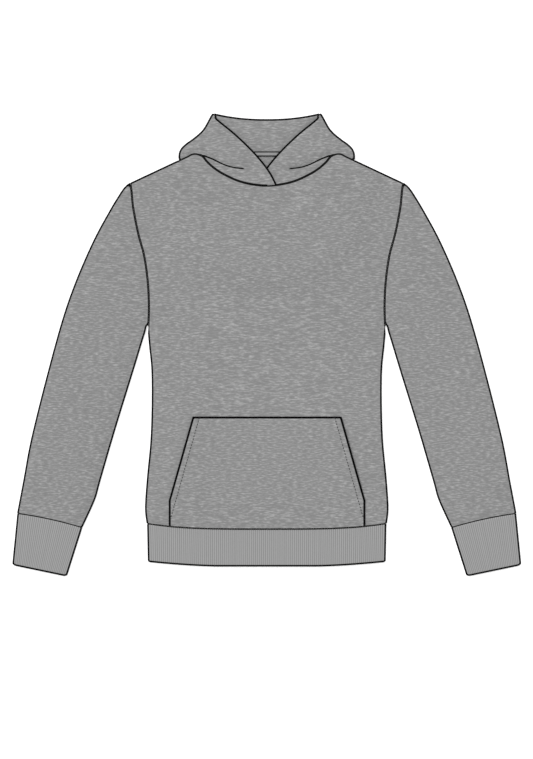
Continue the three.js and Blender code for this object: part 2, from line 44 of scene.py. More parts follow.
cloth = {
    "fleece": 2.3,
    "rib": 2.6,
    "tape": 1.0,
    "seamGap": 0.4,  # between two pieces sewn side by side
    "layerGap": 0.3,  # between two layers that lie on each other
    "pressed": 0.15,  # how far a layer can be pressed down
    "rimSteps": 6,  # facets round a cloth edge
    "nearEdge": (2.2, 3.5, 5.2, 7.6),  # where the first grid lines lie beside an edge
    "swell": 0.9,  # how far the cloth stands up beside its seams
    "swellReach": 13,
    "reach": 1.5,  # how far soft folds and edges stand out past the solids' outline
}
# Half the width of the dark lines along seams (part dark thread, part painted seam shadow), and how far
# painted shade reaches in from a fold edge
lineWidths = {
    "seam": 1.75, "shoulderSeam": 1.25, "thinSeam": 1.2, "cuffSeam": 0.95,
    "edge": 3.0, "hoodEdge": 3.3, "lapEdge": 3.0, "pocketEdge": 3.4, "tape": 1.0,
}


# Lines and grids

def dense(rows, perSpan=16):  # a smooth curve through the rows
    points = np.array(rows, float)
    padded = np.vstack([points[:1], points, points[-1:]])
    t = np.linspace(0, 1, perSpan, endpoint=False)[:, None]
    spans = []
    for a, b, c, d in zip(padded[:-3], padded[1:-2], padded[2:-1], padded[3:]):
        bend = (2 * a - 5 * b + 4 * c - d) * t**2 + (3 * b - a - 3 * c + d) * t**3
        spans.append((2 * b + (c - a) * t + bend) / 2)
    return np.vstack([*spans, points[-1:]])


def lengthOf(line):
    return np.r_[0, np.cumsum(np.linalg.norm(np.diff(line, axis=0), axis=1))]


def at(line, fractions):  # points at fractions of a line's length
    along = lengthOf(line)
    wanted = np.clip(fractions, 0, 1) * along[-1]
    return np.stack([np.interp(wanted, along, line[:, axis]) for axis in range(line.shape[1])], axis=-1)


def evenly(line, steps):
    return at(line, np.linspace(0, 1, steps + 1))


def atParts(parts, shares, fractions):  # the same on a line in parts, each over its share of the whole
    points = np.zeros((len(fractions), 2))
    for part, low, high in zip(parts, shares[:-1], shares[1:]):
        inside = (fractions >= low - 1e-9) & (fractions <= high + 1e-9)
        points[inside] = at(part, (fractions[inside] - low) / (high - low))
    return points


def unit(vectors):  # the same directions, one long
    return vectors / np.linalg.norm(vectors, axis=-1, keepdims=True)


def lineOf(x, y):  # points from their places across and up
    return np.stack([x, y], axis=1)


def raisedLine(line, height):
    return np.column_stack([line, np.broadcast_to(height, len(line))])


def shifted(line, distance):  # to the line's left for a positive distance, or one for each point
    ahead = unit(np.vstack([line[1:], line[-1:]]) - np.vstack([line[:1], line[:-1]]))
    left = lineOf(-ahead[:, 1], ahead[:, 0])
    return line + np.broadcast_to(distance, len(line))[:, None] * left


def mirrored(line):
    return np.asarray(line) * [-1, 1]


def straight(start, end, steps=1):
    return np.linspace(start, end, steps + 1)


def smooth(value, low, high):
    t = np.clip((value - low) / (high - low), 0, 1)
    return t * t * (3 - 2 * t)


def mix(low, high, share):
    return low + (high - low) * share


def spread(length, step, share=(0, 1), nearStart=True, nearEnd=True):  # fractions, closer at an edge
    near = cloth["nearEdge"]
    low = near[-1] if nearStart else 0
    high = length - near[-1] if nearEnd else length
    places = [0, length, *np.linspace(low, high, max(int(round((high - low) / step)), 1) + 1)]
    places += [value for value in near if nearStart]
    places += [length - value for value in near if nearEnd]
    fractions = np.unique(np.round(np.array(places) / length, 7))
    return mix(share[0], share[1], fractions)


def coons(bottom, top, left, right, u, v):
    u, v = u[None, :, None], v[:, None, None]
    sides = (1 - v) * bottom + v * top + (1 - u) * left[:, None] + u * right[:, None]
    low = (1 - v) * ((1 - u) * bottom[0] + u * bottom[-1])
    high = v * ((1 - u) * top[0] + u * top[-1])
    return sides - low - high


def nearestOn(line, plan):  # distance to a line, positive on its left, and how far along it
    starts, runs = line[:-1], np.diff(line, axis=0)
    squares = np.maximum((runs**2).sum(axis=1), 1e-9)
    marks = lengthOf(line)
    flat = np.asarray(plan)[..., :2].reshape(-1, 2)
    away, along = np.empty(len(flat)), np.empty(len(flat))
    for low in range(0, len(flat), 4000):
        offset = flat[low:low + 4000, None] - starts
        share = np.clip((offset * runs).sum(axis=2) / squares, 0, 1)
        gap = np.linalg.norm(offset - share[..., None] * runs, axis=2)
        best = gap.argmin(axis=1)
        row = np.arange(len(best))
        turn = runs[best, 0] * offset[row, best, 1] - runs[best, 1] * offset[row, best, 0]
        away[low:low + 4000] = gap[row, best] * np.where(turn < 0, -1, 1)
        along[low:low + 4000] = marks[best] + share[row, best] * np.sqrt(squares[best])
    shape = np.asarray(plan).shape[:-1]
    return away.reshape(shape), along.reshape(shape)


def distanceTo(lines, plan):  # to the nearest of several lines
    return np.min([np.abs(nearestOn(line, plan)[0]) for line in lines], axis=0)


def lineValue(lines, plan, under):  # below zero within a line's width, for lines as (points, kind)
    values = [np.full(plan.shape[:-1], 30.0)]
    for line, kind in lines:  # painted edge shade ends half way down an edge, a seam's dark line shows below too
        hidden = under * 9 if "edge" in kind.lower() else 0
        values.append(np.abs(nearestOn(line, plan)[0]) - lineWidths[kind] + hidden)
    return np.min(values, axis=0)


def fold(width, depth, *path):  # a soft fold in the cloth, a ridge where its depth is below zero
    return width, depth, path, False


def seamFold(width, depth, *path):  # the same, but it starts at a seam and is deepest there
    return width, depth, path, True


def foldHeights(plan, folds):  # soft troughs with a low ridge on each side, fading at their ends
    height = np.zeros(plan.shape[:-1])
    for width, depth, path, fromSeam in folds:
        line = dense(path, 6)
        away, along = nearestOn(line, plan)
        total = lengthOf(line)[-1]
        start = 1 if fromSeam else smooth(along, 0, total * 0.4)
        fade = start * (1 - smooth(along, total * 0.55, total))
        t = away / width
        height -= depth * fade * (np.exp(-t**2) - 0.5 * np.exp(-(t / 2.1) ** 2))
    return height


# Meshes

def quads(ids, closed=False):
    if closed:
        ids = np.hstack([ids, ids[:, :1]])
    corners = [ids[:-1, :-1], ids[:-1, 1:], ids[1:, 1:], ids[1:, :-1]]
    return np.stack(corners, axis=-1).reshape(-1, 4)


def put(name, data):  # an object in the scene
    thing = bpy.data.objects.new(name, data)
    bpy.context.collection.objects.link(thing)
    return thing


def clothMesh(name, points, faces, material, lines, uv, more=None, caps=()):
    # a closed mesh, faces outwards, that knows how far each point is from its seams and edges
    corners = points[faces]
    cross = np.cross(corners[:, 1] - corners[:, 0], corners[:, 2] - corners[:, 0])
    cross += np.cross(corners[:, 2] - corners[:, 0], corners[:, 3] - corners[:, 0])
    turn = -1 if (corners[:, 0] * cross).sum() < 0 else 1
    faces = [face[::turn].tolist() for face in [*faces, *caps]]
    mesh = bpy.data.meshes.new(name)
    mesh.from_pydata((points * mm).tolist(), [], faces)
    mesh.polygons.foreach_set("use_smooth", [len(face) == 4 for face in faces])
    normals = np.empty(points.size)
    mesh.vertex_normals.foreach_get("vector", normals)
    under = 1 - smooth(normals[2::3], -0.55, -0.05)
    # the line value places the dark seam lines and the painted shade along fold edges
    values = {"line": lineValue(lines, points, under), **(more or {})}
    for key, value in values.items():
        mesh.attributes.new(key, "FLOAT", "POINT").data.foreach_set("value", np.asarray(value, float))
    loops = np.empty(len(mesh.loops), int)
    mesh.loops.foreach_get("vertex_index", loops)
    mesh.uv_layers.new(name="cloth").data.foreach_set("uv", (uv[loops] * mm).ravel())
    mesh.materials.append(material)
    mesh.update()
    return put(name, mesh)


def normalsOf(grid):
    return unit(np.cross(np.gradient(grid, axis=1), np.gradient(grid, axis=0)))


def rimAngles():
    return np.linspace(math.pi / 2, -math.pi / 2, cloth["rimSteps"] + 1)[1:-1]


def shell(name, grid, thickness, material, lines, more=None):
    # a sheet of cloth round a grid on its middle, its rim a half round that ends on the grid's border
    normal = normalsOf(grid)
    rows, columns = grid.shape[:2]
    count = rows * columns
    half = thickness / 2
    ids = np.arange(count).reshape(rows, columns)
    border = np.r_[ids[0, :-1], ids[:-1, -1], ids[-1, :0:-1], ids[:0:-1, 0]]
    flat = grid.reshape(-1, 3).copy()
    normal = normal.reshape(-1, 3)
    rimNormal = normal[border]
    ahead = np.roll(flat[border], -1, axis=0) - np.roll(flat[border], 1, axis=0)
    outward = unit(np.cross(ahead, rimNormal))
    flat[border] -= half * outward
    base = flat[border]
    rings = [base + half * (math.cos(a) * outward + math.sin(a) * rimNormal) for a in rimAngles()]
    points = np.vstack([flat + half * normal, flat - half * normal, *rings])
    ringIds = [2 * count + level * len(border) + np.arange(len(border)) for level in range(len(rings))]
    band = np.array([border, *ringIds, border + count])
    faces = np.vstack([quads(ids), quads(ids + count)[:, ::-1], quads(band, closed=True)[:, ::-1]])
    plan = flat[:, :2]
    uv = np.vstack([plan, plan, *[plan[border]] * len(rings)])
    values = {}
    for key, value in (more or {}).items():
        value = value.reshape(-1)
        values[key] = np.r_[value, value, np.tile(value[border], len(rings))]
    return clothMesh(name, points, faces, material, lines, uv, values)


def tube(name, outer, inner, material, lines, more=None):
    # a flattened tube of cloth, its two open ends half round
    outer, inner = outer.copy(), inner.copy()
    ends = []
    for end, nextOne in ((0, 1), (-1, -2)):
        outward = unit((outer[end] - outer[nextOne]) * [1, 1, 0])
        reach = np.linalg.norm(outer[end] - inner[end], axis=1)[:, None] / 2
        reach = np.minimum(reach, cloth["fleece"] / 2)
        outer[end] -= outward * reach
        inner[end] -= outward * reach
        middle, across = (outer[end] + inner[end]) / 2, (outer[end] - inner[end]) / 2
        ends.append([middle + math.sin(a) * across + math.cos(a) * reach * outward for a in rimAngles()])
    rings = np.array([*outer, *ends[1], *inner[::-1], *ends[0][::-1]])
    ids = np.arange(rings.shape[0] * rings.shape[1]).reshape(rings.shape[:2])
    faces = quads(np.vstack([ids, ids[:1]]), closed=True)
    around = np.linalg.norm(np.diff(outer, axis=1, append=outer[:, :1]), axis=2)
    around = np.cumsum(around, axis=1) - around
    down = np.linalg.norm(np.diff(outer, axis=0, prepend=outer[:1]), axis=2).cumsum(axis=0)
    flat = np.stack([around, down], axis=-1)
    rims = cloth["rimSteps"] - 1
    order = [*range(len(outer)), *[-1] * rims, *range(len(outer) - 1, -1, -1), *[0] * rims]
    values = {}
    for key, (outside, inside) in (more or {}).items():
        sides = np.array([*outside, *[outside[-1]] * rims, *inside[::-1], *[outside[0]] * rims])
        values[key] = sides.reshape(-1)
    return clothMesh(name, rings.reshape(-1, 3), faces, material, lines, flat[order].reshape(-1, 2), values)


# Node trees

def operation(name):  # a method that works its values out with a Math node
    return lambda first, *others: first.nodes.math(name, first, *others)


class Wire:  # a socket that takes part in sums
    def __init__(self, nodes, socket):
        self.nodes = nodes
        self.socket = socket

    def __rsub__(self, other):
        return self.nodes.math("SUBTRACT", other, self)

    __add__ = __radd__ = operation("ADD")
    __sub__ = operation("SUBTRACT")
    __mul__ = __rmul__ = operation("MULTIPLY")
    __truediv__ = operation("DIVIDE")
    size = operation("ABSOLUTE")
    fraction = operation("FRACT")
    sine = operation("SINE")
    power = operation("POWER")
    larger = operation("MAXIMUM")


class Nodes:  # a tree's nodes, of a material or a modifier
    def __init__(self, tree):
        self.tree = tree

    def add(self, kind, settings=None, inputs=None, output=0):  # settings first, then values or links
        node = self.tree.nodes.new(kind)
        for key, value in (settings or {}).items():
            setattr(node, key, value)
        for key, value in (inputs or {}).items():
            if isinstance(value, Wire):
                self.tree.links.new(value.socket, node.inputs[key])
            else:
                node.inputs[key].default_value = value
        return Wire(self, node.outputs[output])

    def math(self, name, *values):
        return self.add("ShaderNodeMath", {"operation": name}, dict(enumerate(values)))


class Shade(Nodes):  # one material's nodes
    def __init__(self, name):
        self.material = bpy.data.materials.new(name)
        self.material.use_nodes = True
        super().__init__(self.material.node_tree)
        self.tree.nodes.clear()
        self.place = self.add("ShaderNodeTexCoord", output="Object")
        self.flat = self.add("ShaderNodeUVMap", {"uv_map": "cloth"})

    def attribute(self, name):
        return self.add("ShaderNodeAttribute", {"attribute_name": name}, output="Fac")

    def part(self, vector, axis):
        return self.add("ShaderNodeSeparateXYZ", inputs={0: vector}, output=axis)

    def noise(self, size, detail=2.0, roughness=0.5, vector=None):  # blobs of a size in mm, as (x, y, z)
        scale = tuple(1 / (value * mm) for value in size)
        place = self.add("ShaderNodeMapping", inputs={"Vector": vector or self.place, "Scale": scale})
        inputs = {"Vector": place, "Scale": 1.0, "Detail": detail, "Roughness": roughness}
        return self.add("ShaderNodeTexNoise", inputs=inputs, output="Fac")

    def flecks(self, stops):  # the marl's greys, as (share, grey on a screen)
        share = self.noise(marl["blob"], 3.0, 0.55)
        return self.ramp(share, stops)

    def ramp(self, share, stops):
        colour = self.add("ShaderNodeValToRGB", inputs={"Fac": share})
        elements = colour.socket.node.color_ramp.elements
        while len(elements) < len(stops):
            elements.new(0.5)
        for element, (place, value) in zip(elements, stops):
            element.position = place
            element.color = grey(value)
        return colour

    def step(self, value, low, high, start=0.0, end=1.0):
        settings = {"interpolation_type": "SMOOTHSTEP"}
        inputs = {"Value": value, "From Min": low, "From Max": high, "To Min": start, "To Max": end}
        return self.add("ShaderNodeMapRange", settings, inputs)

    # Painted dark lines: along seams, part dark thread and part painted seam shadow; along fold edges,
    # painted shade.
    def threadAndEdgeShade(self):  # one along the dark lines, zero elsewhere
        return self.step(self.attribute("line"), -0.25, 0.25, 1.0, 0.0)

    def blend(self, share, first, second, kind="MIX"):  # colours
        settings = {"data_type": "RGBA", "blend_type": kind}
        return self.add("ShaderNodeMix", settings, {0: share, 6: first, 7: second}, output=2)

    def times(self, colour, share):
        joined = self.add("ShaderNodeCombineColor", inputs={0: share, 1: share, 2: share})
        return self.blend(1.0, colour, joined, "MULTIPLY")

    def finish(self, colour, height, depth, **fixed):  # fixed values go on the shader's own sockets
        inputs = {"Height": height, "Distance": depth * mm, "Strength": 0.6}
        normal = self.add("ShaderNodeBump", inputs=inputs)
        inputs = {"Base Color": colour, "Normal": normal, **fixed}
        shader = self.add("ShaderNodeBsdfPrincipled", inputs=inputs)
        end = self.tree.nodes.new("ShaderNodeOutputMaterial")
        self.tree.links.new(shader.socket, end.inputs["Surface"])
        return self.material


def grey(value):  # a grey from its value on a screen, 0 to 255
    level = value / 255
    level = level / 12.92 if level <= 0.04045 else ((level + 0.055) / 1.055) ** 2.4
    return (level, level, level, 1)


marl = {
    "blob": (8.4, 2.0, 2.0),  # mm, always along X, as the yarn's flecks run across the garment
    "stops": ((0.32, 129), (0.44, 133), (0.52, 140), (0.60, 152), (0.72, 171)),
    "fibre": (2.6, 0.8, 0.8),
    "fibreAmount": 0.10,
    "cloud": (60, 45, 45),
    "cloudAmount": 0.05,
    "stitch": (1.25, 0.95),  # mm, a jersey stitch's width and height
    "nap": 0.5,
    "crease": (1.15, 1.65),  # mm from a crease's line, where its painted crease shade ends
    "thread": 3,  # the dark sewing thread, whose grey also paints the seam lines (part thread, part painted seam shadow), the painted edge shade and the painted crease shade
}
clothGloss = {"Sheen Weight": 0.03, "Sheen Roughness": 0.6, "Specular IOR Level": 0.02}


def fleeceMaterial(name, creased=False):
    shade = Shade(name)
    fibres = shade.noise(marl["fibre"])
    clouds = shade.noise(marl["cloud"], 1.0)
    uneven = 1 + (fibres - 0.5) * marl["fibreAmount"] + (clouds - 0.5) * marl["cloudAmount"]
    colour = shade.times(shade.flecks(marl["stops"]), uneven)
    # painted dark lines: dark thread and painted shadow along seams, painted shade along fold edges
    dark = shade.threadAndEdgeShade()
    # on the hood, painted shade along its crease, over the crease's trough
    if creased:
        line = shade.step(shade.attribute("crease").size(), *marl["crease"], 1.0, 0.0)
        dark = dark.larger(line * shade.attribute("creaseShare"))
    colour = shade.blend(dark, colour, grey(marl["thread"]))
    across, up = [shade.part(shade.flat, axis) / (marl["stitch"][axis] * mm) for axis in (0, 1)]
    leaning = (across.fraction() - 0.5).size()
    loops = ((up + leaning).fraction() - 0.5).size()
    nap = shade.noise((marl["nap"],) * 3)
    height = (1 - loops * 2) * 0.5 + (1 - leaning * 2) * 0.3 + nap * 0.6
    return shade.finish(colour, height, 0.25, Roughness=0.93, **clothGloss)


ribs = {
    "pitch": 3.4,
    "height": 0.5,
    "flatness": 0.55,  # below one, for broad crowns and narrow grooves
    # rib greys: painted shade in the grooves, painted light on the crowns
    "groove": 135,
    "crown": 157,
    "stitch": 1.1,
    "streaks": 0.2,  # how much one rib differs from the next
    "roundEdge": 2,  # ribs on the rounded side of a tube
}


def ribMaterial():
    shade = Shade("ribKnit")
    phase = shade.attribute("ribPhase")
    crown = 0.5 - (phase * (2 * math.pi) + math.pi / 2).sine() * 0.5
    # painted shade in the rib grooves and painted light on their crowns
    colour = shade.blend(shade.step(crown, 0.1, 0.75), grey(ribs["groove"]), grey(ribs["crown"]))
    ribByRib = shade.add("ShaderNodeCombineXYZ", inputs={0: phase * 0.7 * mm})
    streaks = shade.noise((1, 1, 1), vector=ribByRib) - 0.5
    uneven = 1 + streaks * ribs["streaks"] + (shade.noise((5.0, 3.0, 3.0), 3.0) - 0.5) * 0.06
    colour = shade.times(colour, uneven)
    # dark seam line (part thread, part painted seam shadow) and painted shade along the fold edge
    colour = shade.blend(shade.threadAndEdgeShade(), colour, grey(marl["thread"]))
    rows = (shade.part(shade.flat, 1) / (ribs["stitch"] * mm)).fraction()
    height = (1 - (rows - 0.5).size() * 2) * 0.5 + shade.noise((0.5, 0.5, 0.5)) * 0.5
    return shade.finish(colour, height, 0.2, Roughness=0.9, **clothGloss)


tape = {
    "half": 88,
    "width": 8.8,
    "cutWidth": 10,
    "raise": 1.15,  # how much higher the hood's sides lie on it
    "offset": 1.4,  # its middle lies above the seam that it covers
    "lines": 3.3,  # from its middle to each edge stitch line
    # grey of the painted shadow along the tape's edges, round its stitch lines
    "threadAndEdgeShade": 26,
    "stops": ((0.3, 138), (0.7, 152)),
    "twill": 0.9,
}


def tapeMaterial():
    shade = Shade("neckTapeTwill")
    split = [shade.part(shade.place, axis) / mm for axis in (0, 1)]
    twill = (((split[0] + split[1]) / tape["twill"]).fraction() - 0.5).size() * 2
    # painted shadow along the tape's edges, round its stitch lines
    colour = shade.blend(shade.threadAndEdgeShade(), shade.flecks(tape["stops"]), grey(tape["threadAndEdgeShade"]))
    return shade.finish(colour, twill, 0.15, Roughness=0.85, **clothGloss)


def threadMaterial(name, value):
    shade = Shade(name)
    twist = shade.noise((0.35, 0.35, 0.35), 1.0)
    colour = shade.ramp(twist, ((0.35, value * 0.85), (0.65, value * 1.15)))
    return shade.finish(colour, twist, 0.08, Roughness=0.7)


fleece = fleeceMaterial("marlFleece")
creasedFleece = fleeceMaterial("marlFleeceCreased", creased=True)
ribKnit = ribMaterial()
tapeTwill = tapeMaterial()
seamThread = threadMaterial("seamThread", marl["thread"] + 6)
topstitchThread = threadMaterial("topstitchThread", 48)
print("materials made")


def placed(piece, node, flat, area):  # attaches a finished piece to the root and hides its part in the frame; its flat size and area are rounded but not used
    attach(piece, "root")
    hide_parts(node)
    flat = tuple(round(value * mm, 4) for value in flat)
    round(area * mm * mm, 5)


def outlineArea(line):
    x, y = line[:, 0], line[:, 1]
    return abs((x * np.roll(y, -1) - y * np.roll(x, -1)).sum()) / 2


def borderOf(grid):
    return np.vstack([grid[0, :-1], grid[:-1, -1], grid[-1, :0:-1], grid[:0:-1, 0]])[:, :2]


def sizeOf(grid):
    flat = grid.reshape(-1, grid.shape[-1])
    return flat[:, 0].max() - flat[:, 0].min(), flat[:, 1].max() - flat[:, 1].min()


# The folded hood's hidden part, which lifts the body where it lies on it

pouch = {
    "outline": [
        (0, 367.0), (40, 369.2), (78, 375.2), (85.5, 375.5), (96.0, 360.0), (108.0, 345.2),
        (125.0, 332.0), (137.4, 320.4), (139.2, 311.0), (138.6, 300.0), (135.0, 265.0),
        (122.0, 215.0), (98.0, 170.0), (55.0, 140.5), (0, 132.0),
    ],
    "lift": 5.2,
    "spread": 10,
    "fade": 55,
    "flatEdge": 6,
    "steps": 90,
}
pouchHalf = evenly(dense(pouch["outline"]), pouch["steps"])
pouchLine = np.vstack([pouchHalf, mirrored(pouchHalf)[-2:0:-1]])


def liftAt(plan):
    closed = np.vstack([pouchLine, pouchLine[:1]])
    outside = nearestOn(closed, plan)[0]  # to its left, as the outline runs clockwise
    return pouch["lift"] * (1 - smooth(outside, pouch["spread"], pouch["spread"] + pouch["fade"]))


# Body

body = {
    "hemHalf": 196.2,
    "sideReach": 1.9,  # as the cloth's reach, for the body's sides
    "sideEase": 14,
    "hemSideY": -294.7,
    "hemDip": 8.9,
    "hemPower": 3.5,  # the higher, the flatter the hem's middle
    "loft": 3.2,
    "panelsApart": 0.2,  # at least, between front and back
    "loftFoot": 60,
    "loftEnd": (120, 250),
    "sideSeam": [
        (196.4, -294.9), (199.0, -275.0), (198.6, -254.0), (195.6, -215.0), (190.2, -158.0),
        (188.2, -100.0), (188.6, -42.0), (192.6, 0.0), (195.3, 32.2),
    ],
    "armhole": [
        (195.3, 32.2), (194.3, 65.0), (196.4, 106.4), (202.4, 148.0), (212.0, 184.0),
        (219.5, 221.9), (221.8, 239.4), (223.0, 253.8), (225.0, 266.0),
    ],
    "shoulder": [
        (225.0, 266.4), (194.7, 280.6), (168.3, 292.9), (148.5, 302.1), (134.5, 308.5),
        (128.0, 311.7), (124.5, 313.8), (121.3, 314.8), (117.5, 314.9), (113.5, 314.3),
        (110.0, 313.4),
    ],
    "hoodMeets": 144,  # where the hood's side starts on the shoulder
    "hoodEase": (-6, 4),
    "frontNeck": [
        (110.0, 313.4), (107.0, 312.2), (103.4, 308.6), (98.6, 302.4), (89.1, 293.6),
        (79.2, 286.5), (69.3, 280.8), (49.5, 271.6), (29.7, 266.0), (9.9, 263.2), (0.0, 262.9),
    ],
    "backNeckCentre": 313.8,
    "backNeckRise": -0.4,
    "neckShare": (5 / 22, 17 / 22),  # the panel's columns that end at the neck
    "step": 4.4,
    "frontFolds": [
        seamFold(8, 0.9, (193, 40), (168, 58), (140, 66)),
        seamFold(9, 1.1, (-193, 36), (-165, 48), (-128, 50)),
        seamFold(7, 0.6, (191, 12), (170, 20), (152, 22)),
        seamFold(7, 0.7, (-190, -6), (-172, 6), (-150, 12)),
        fold(16, 0.8, (-120, 236), (-60, 222), (10, 220), (78, 230)),
        fold(18, 0.6, (-70, 176), (-10, 168), (64, 178)),
        seamFold(7, 0.9, (176, -292), (178, -262), (172, -236)),
        seamFold(7, 1.0, (-180, -292), (-178, -256), (-184, -230)),
        fold(12, 0.7, (150, -60), (172, -96), (180, -140)),
        fold(13, 0.8, (-176, -60), (-164, -110), (-174, -160)),
        fold(20, 0.7, (-90, -60), (-20, -76), (60, -70)),
        seamFold(10, 0.6, (198, 150), (176, 160), (150, 160)),
        seamFold(10, 0.7, (-200, 142), (-172, 156), (-140, 150)),
    ],
    "backFolds": [
        fold(12, -0.9, (-120, -180), (-60, -150), (30, -160), (90, -190)),
        fold(11, -0.8, (110, -60), (60, -20), (20, 10)),
        fold(10, -0.8, (-130, 60), (-70, 40), (-20, 50)),
        fold(8, -0.7, (40, -250), (52, -225), (46, -200)),
    ],
}


def hemSeamY(x):
    return body["hemSideY"] - body["hemDip"] * (1 - np.abs(x / body["hemHalf"]) ** body["hemPower"])


def hemLine(x, above=0):
    return lineOf(x, hemSeamY(x) + above)


def backNeckY(x):
    return body["backNeckCentre"] + body["backNeckRise"] * (x / body["frontNeck"][0][0]) ** 2


def loftAt(plan):
    across = 1 - np.clip(np.abs(plan[..., 0]) / body["hemHalf"], 0, 1) ** 4
    nearHem = mix(0.6, 1, smooth(plan[..., 1], body["hemSideY"], body["hemSideY"] + body["loftFoot"]))
    return body["loft"] * across * nearHem * (1 - smooth(plan[..., 1], *body["loftEnd"]))


def backMiddle(plan):
    return liftAt(plan) + cloth["fleece"] / 2 + foldHeights(plan, body["backFolds"]).clip(0, 1.2)


def frontMiddle(plan):  # without its folds
    return liftAt(plan) + cloth["fleece"] * 1.5 + cloth["layerGap"] + loftAt(plan)


sideLine = dense(body["sideSeam"])
armholeLine = dense(body["armhole"])
shoulderLine = dense(body["shoulder"])
wholeNeck = dense([*body["frontNeck"], *[(-x, y) for x, y in body["frontNeck"][-2::-1]]])
neckLine = wholeNeck[:len(wholeNeck) // 2 + 1]  # from the shoulder at +X to the middle


def bodyPlan(neckHalf):  # a panel's plan grid, from the hem seam up and from -X to +X
    gap, reach = cloth["seamGap"] / 2, cloth["reach"]
    along = lengthOf(sideLine)
    free = mix(-body["sideReach"], gap, smooth(along, along[-1] - body["sideEase"], along[-1]))
    side = np.vstack([sideLine, armholeLine[1:]])
    side = shifted(side, np.r_[free, np.full(len(armholeLine) - 1, gap)])
    neck = np.vstack([neckHalf, mirrored(neckHalf)[-2::-1]])  # from +X to -X
    upper = np.vstack([shoulderLine, neck[1:], mirrored(shoulderLine)[-2::-1]])[::-1]
    beyondHood = smooth(np.abs(upper[:, 0]) - body["hoodMeets"], *body["hoodEase"])
    upper = shifted(upper, mix(-gap, reach, beyondHood))
    lower = hemLine(np.linspace(-body["hemHalf"] - reach, body["hemHalf"] + reach, 60), gap)
    side[0, 1], side[-1, 1] = lower[-1, 1], upper[-1, 1]
    lower[0], lower[-1] = mirrored(side[0]), side[0]
    upper[0], upper[-1] = mirrored(side[-1]), side[-1]
    step, neckShare = body["step"], body["neckShare"]
    shoulderLength = lengthOf(shoulderLine)[-1]
    u = np.unique(np.r_[
        spread(shoulderLength, step, (0, neckShare[0]), nearEnd=False),
        spread(lengthOf(neck)[-1], step * 0.85, neckShare, nearStart=False, nearEnd=False),
        spread(shoulderLength, step, (neckShare[1], 1), nearStart=False),
    ].round(7))
    v = np.unique(np.r_[
        spread(lengthOf(sideLine)[-1], step, (0, 0.5), nearEnd=False),
        spread(lengthOf(armholeLine)[-1], step, (0.5, 1), nearStart=False),
    ].round(7))
    count = len(shoulderLine) - 1
    parts = [upper[:count + 1], upper[count:-count], upper[-count - 1:]]
    top = atParts(parts, (0, *neckShare, 1), u)
    half = len(sideLine)
    right = atParts([side[:half], side[half - 1:]], (0, 0.5, 1), v)
    return coons(at(lower, u), top, mirrored(right), right, u, v)


def swellAt(plan, seams):
    return cloth["swell"] * smooth(distanceTo(seams, plan), 0, cloth["swellReach"])


def flipped(lines, side):  # lines as (points, kind), mirrored where side is -1
    return [(line * [side, 1], kind) for line, kind in lines]


def bothSides(lines):
    return flipped(lines, 1) + flipped(lines, -1)


def panelLines(neckHalf):
    hem = hemLine(np.linspace(0, body["hemHalf"], 30))
    side = shifted(sideLine, -body["sideReach"])
    tip = shoulderLine[shoulderLine[:, 0] > body["hoodMeets"]]
    atHood = shoulderLine[shoulderLine[:, 0] <= body["hoodMeets"] + 1.5]
    return bothSides([
        (hem, "thinSeam"), (side[::2], "edge"), (armholeLine[::2], "seam"),
        (shifted(tip, -cloth["reach"])[::2], "edge"), (atHood, "shoulderSeam"), (neckHalf, "seam"),
    ])


bodySeams = [line * [flip, 1] for line in (
    armholeLine[::3], neckLine[::3], sideLine[::3], shoulderLine[::3],
    hemLine(np.linspace(-196, 196, 40)),
) for flip in (1, -1)]


def bodyPanel(name, node, plan, height, neckHalf):
    piece = shell(name, np.dstack([plan, height]), cloth["fleece"], fleece, panelLines(neckHalf))
    placed(piece, node, sizeOf(plan), outlineArea(borderOf(plan)))


def frontPanel():
    plan = bodyPlan(neckLine)
    height = frontMiddle(plan) + swellAt(plan, bodySeams) + foldHeights(plan, body["frontFolds"])
    height = np.maximum(height, backMiddle(plan) + cloth["fleece"] + body["panelsApart"])
    bodyPanel("frontPanel", "front", plan, height, neckLine)


def backPanel():
    x = np.linspace(neckLine[0, 0], 0, 30)
    neck = lineOf(x, backNeckY(x))
    plan = bodyPlan(neck)
    bodyPanel("backPanel", "back", plan, backMiddle(plan), neck)


frontPanel()
backPanel()
print("body panels made")


# Pocket

pocket = {
    "topY": -118.0,
    "topHalf": 122.9,
    "bottomHalf": 162.2,
    "cornerY": -256.6,
    "shift": 0.5,  # it is sewn a little off the middle
    "clear": 0.5,  # above the front panel
    "slack": 1.0,
    "slackSide": (80, 130),
    "slackFoot": (-10, 30),  # from the corner's height
    "slackTop": (-40, -5),  # from the top seam
    "foldWidth": 11.2,  # the hem turned under along each opening
    "foldRise": 0.7,
    "foldEase": (-0.5, 3.5),  # from the hem's stitch line
    "stitchDip": 0.5,
    "stitchReach": 1.6,
    "footShare": 0.25,  # the panel's rows below its corner
    "step": 3.4,
}
pocketCorner = np.array([pocket["bottomHalf"], pocket["cornerY"]])
pocketTop = np.array([pocket["topHalf"], pocket["topY"]])


def pocketPlan():
    half, share, step = pocket["bottomHalf"], pocket["footShare"], pocket["step"]
    lower = hemLine(np.linspace(-half, half, 50), cloth["seamGap"] / 2)
    foot = lower[-1]
    u = spread(2 * half, step)
    v = np.unique(np.r_[
        spread(np.linalg.norm(pocketCorner - foot), step, (0, share), nearEnd=False),
        spread(np.linalg.norm(pocketTop - pocketCorner), step, (share, 1), nearStart=False),
    ].round(7))
    right = atParts([straight(foot, pocketCorner), straight(pocketCorner, pocketTop)], (0, share, 1), v)
    top = at(straight(mirrored(pocketTop), pocketTop), u)
    return coons(at(lower, u), top, mirrored(right), right, u, v)


